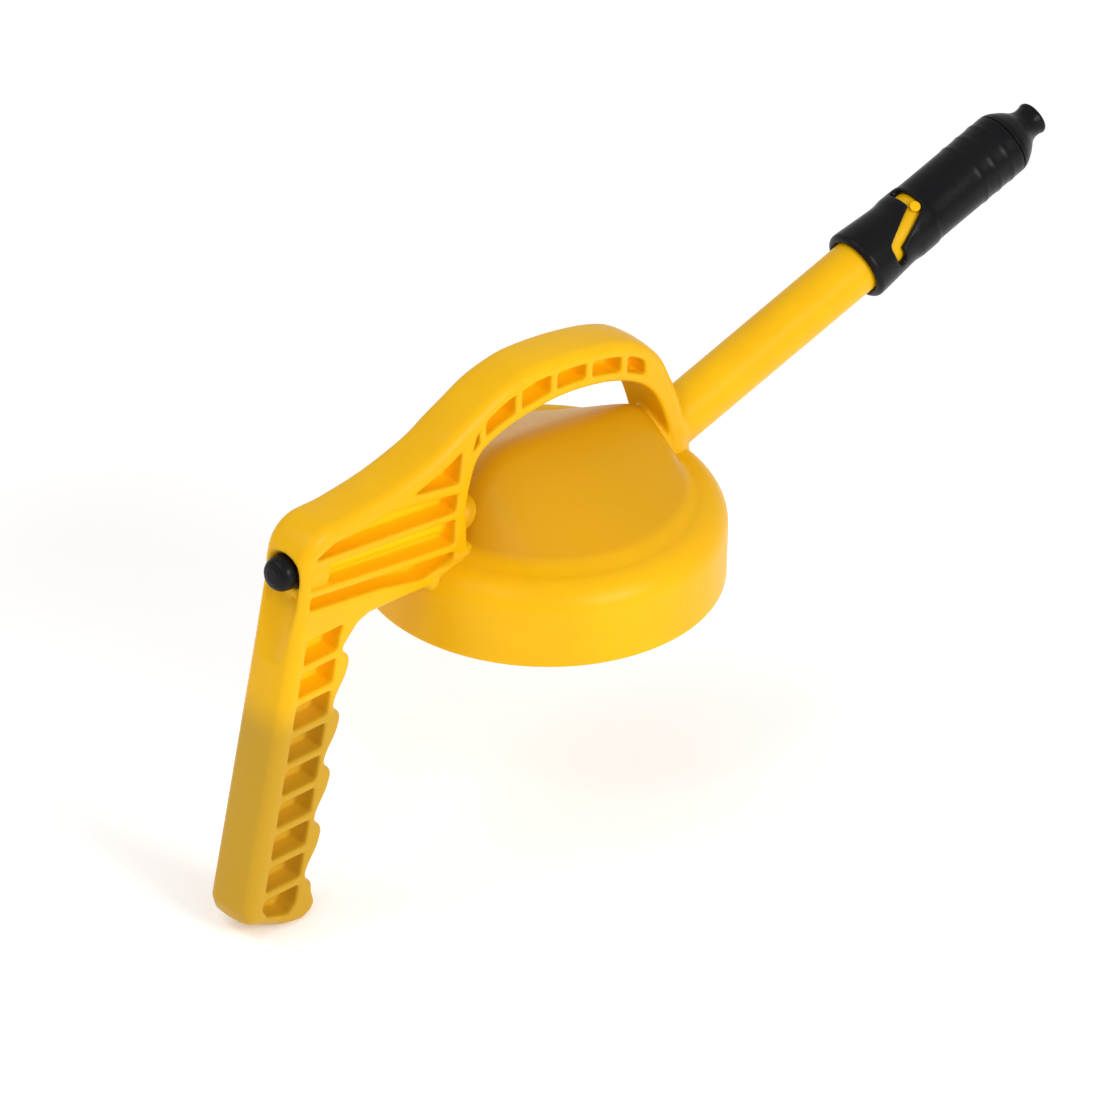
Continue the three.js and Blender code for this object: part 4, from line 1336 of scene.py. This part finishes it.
# %% The dark and metal finishes
black = finish("satin_black_plastic", (0.004, 0.004, 0.005), (0.006, 0.006, 0.007), (0.02, 0.02, 0.022),
               rough=0.3, bump=0.2, grain=800.0, drift=40.0, gloss=0.13)[0]
rubber = finish("nitrile_rubber", (0.014, 0.014, 0.014), (0.021, 0.02, 0.019), (0.05, 0.05, 0.05),
                rough=0.7, bump=0.35, grain=1500.0, drift=60.0, gloss=0.3)[0]
steel = finish("drawn_steel", (0.56, 0.57, 0.58), (0.47, 0.48, 0.5), (0.72, 0.72, 0.72),
               rough=0.28, bump=0.1, grain=2500.0, drift=120.0, metal=1.0)[0]
brass = finish("turned_brass", (0.68, 0.47, 0.17), (0.58, 0.39, 0.13), (0.82, 0.64, 0.3),
               rough=0.3, bump=0.1, grain=2500.0, drift=120.0, metal=1.0)[0]

finishes = {
    "yellow_moulding": yellow,
    "black_moulding": black,
    "seal_rubber": rubber,
    "spring_steel": steel,
    "valve_brass": brass,
}
own_finish = {handle.name: yellow_handle_painted_light, shell.name: yellow_shell_painted_shade}
for piece, body, slot, nodes in pieces:
    piece.data.materials.append(own_finish.get(piece.name, finishes[slot]))
slot_of = {row["node"]: row["material_slot"] for row in frame["record"]["subparts"]}
for name, node in frame["nodes"].items():
    node.data.materials.clear()
    node.data.materials.append(finishes[slot_of[name]])
print("finishes:", len(bpy.data.materials))

# %% [markdown]
# ## Floor, light and camera
#
# A plain pale floor lies just under the grip's butt and shines faintly, as a light table does. A large
# soft light to the right of the camera shapes lid and handle, a weaker one fills from above on the
# left, and a small one over the camera adds a glint. A pale sky keeps the shadows open. The camera
# stands far away with a long lens, behind and to the side of the grip, looking down.

# %% Floor
FLOOR_HALF = 3.0
FLOOR_DROP = 0.0006
FLOOR_SHINE = 0.2
floor_z = cad_box[0][2] - FLOOR_DROP
floor_corners = [(i * FLOOR_HALF, j * FLOOR_HALF, floor_z) for i, j in ((-1, -1), (1, -1), (1, 1), (-1, 1))]
floor_mesh = bpy.data.meshes.new("floor")
floor_mesh.from_pydata(floor_corners, [], [(0, 1, 2, 3)])
floor = bpy.data.objects.new("floor", floor_mesh)
bpy.context.scene.collection.objects.link(floor)
floor_paint = bpy.data.materials.new("pale_floor")
floor_paint.use_nodes = True
floor_shader = floor_paint.node_tree.nodes["Principled BSDF"]
floor_shader.inputs["Base Color"].default_value = (0.95, 0.95, 0.95, 1)
floor_shader.inputs["Roughness"].default_value = 0.9
floor_shader.inputs["Emission Color"].default_value = (1, 1, 1, 1)
floor_shader.inputs["Emission Strength"].default_value = FLOOR_SHINE
floor_mesh.materials.append(floor_paint)

# %% Camera
AZIMUTH = math.radians(-44.5)
ELEVATION = math.radians(33)
ROLL = math.radians(1.8)
CAMERA_DISTANCE = 12.0
VIEW_WIDTH = 0.38596
AIM_RIGHT = 0.003
AIM_UP = 0.0057
SENSOR = 36


def camera_axes():
    """Right, up and back of the camera: azimuth turns it, elevation lifts it, roll tips it."""
    a, e, r = AZIMUTH, ELEVATION, ROLL
    back = np.array([math.sin(a) * math.cos(e), -math.cos(a) * math.cos(e), math.sin(e)])
    level = np.array([math.cos(a), math.sin(a), 0])
    above = np.cross(back, level)
    return level * math.cos(r) + above * math.sin(r), above * math.cos(r) - level * math.sin(r), back


def stand(x, y, z, place):
    """The matrix whose columns are three axes and a place."""
    columns = np.eye(4)
    columns[:3] = np.stack([x, y, z, place], -1)
    return Matrix(columns)


cam_right, cam_up, cam_back = camera_axes()
aim = AIM_RIGHT * cam_right + AIM_UP * cam_up
camera_data = bpy.data.cameras.new("camera")
camera_data.sensor_width = SENSOR
camera_data.lens = SENSOR * CAMERA_DISTANCE / VIEW_WIDTH
camera_data.clip_start = 0.5
camera_data.clip_end = 60
camera = bpy.data.objects.new("camera", camera_data)
bpy.context.scene.collection.objects.link(camera)
camera.matrix_world = stand(cam_right, cam_up, cam_back, aim + cam_back * CAMERA_DISTANCE)
bpy.context.scene.camera = camera
print("lens:", round(camera_data.lens, 1), "mm")

# %% Light
SKY = 0.62


def softbox(name, right, up, back, size, power):
    """A square light placed by the camera's own axes and aimed at the lid."""
    place = right * cam_right + up * cam_up + back * cam_back
    z = place / np.linalg.norm(place)
    x = np.cross([0, 0, 1], z)
    x /= np.linalg.norm(x)
    data = bpy.data.lights.new(name, "AREA")
    data.size = size
    data.energy = power
    light = bpy.data.objects.new(name, data)
    bpy.context.scene.collection.objects.link(light)
    light.matrix_world = stand(x, np.cross(z, x), z, place)


softbox("key_softbox", 1.0, 0.1, 1.2, 0.7, 13)
softbox("fill_softbox", -0.9, 0.9, 0.9, 0.9, 5)
softbox("glint_softbox", -0.35, 0.5, 1.3, 0.16, 1.2)
world = bpy.data.worlds.new("pale_sky")
world.use_nodes = True
world.node_tree.nodes["Background"].inputs["Color"].default_value = (1, 1, 1, 1)
world.node_tree.nodes["Background"].inputs["Strength"].default_value = SKY
bpy.context.scene.world = world
bpy.context.scene.view_settings.view_transform = "Standard"
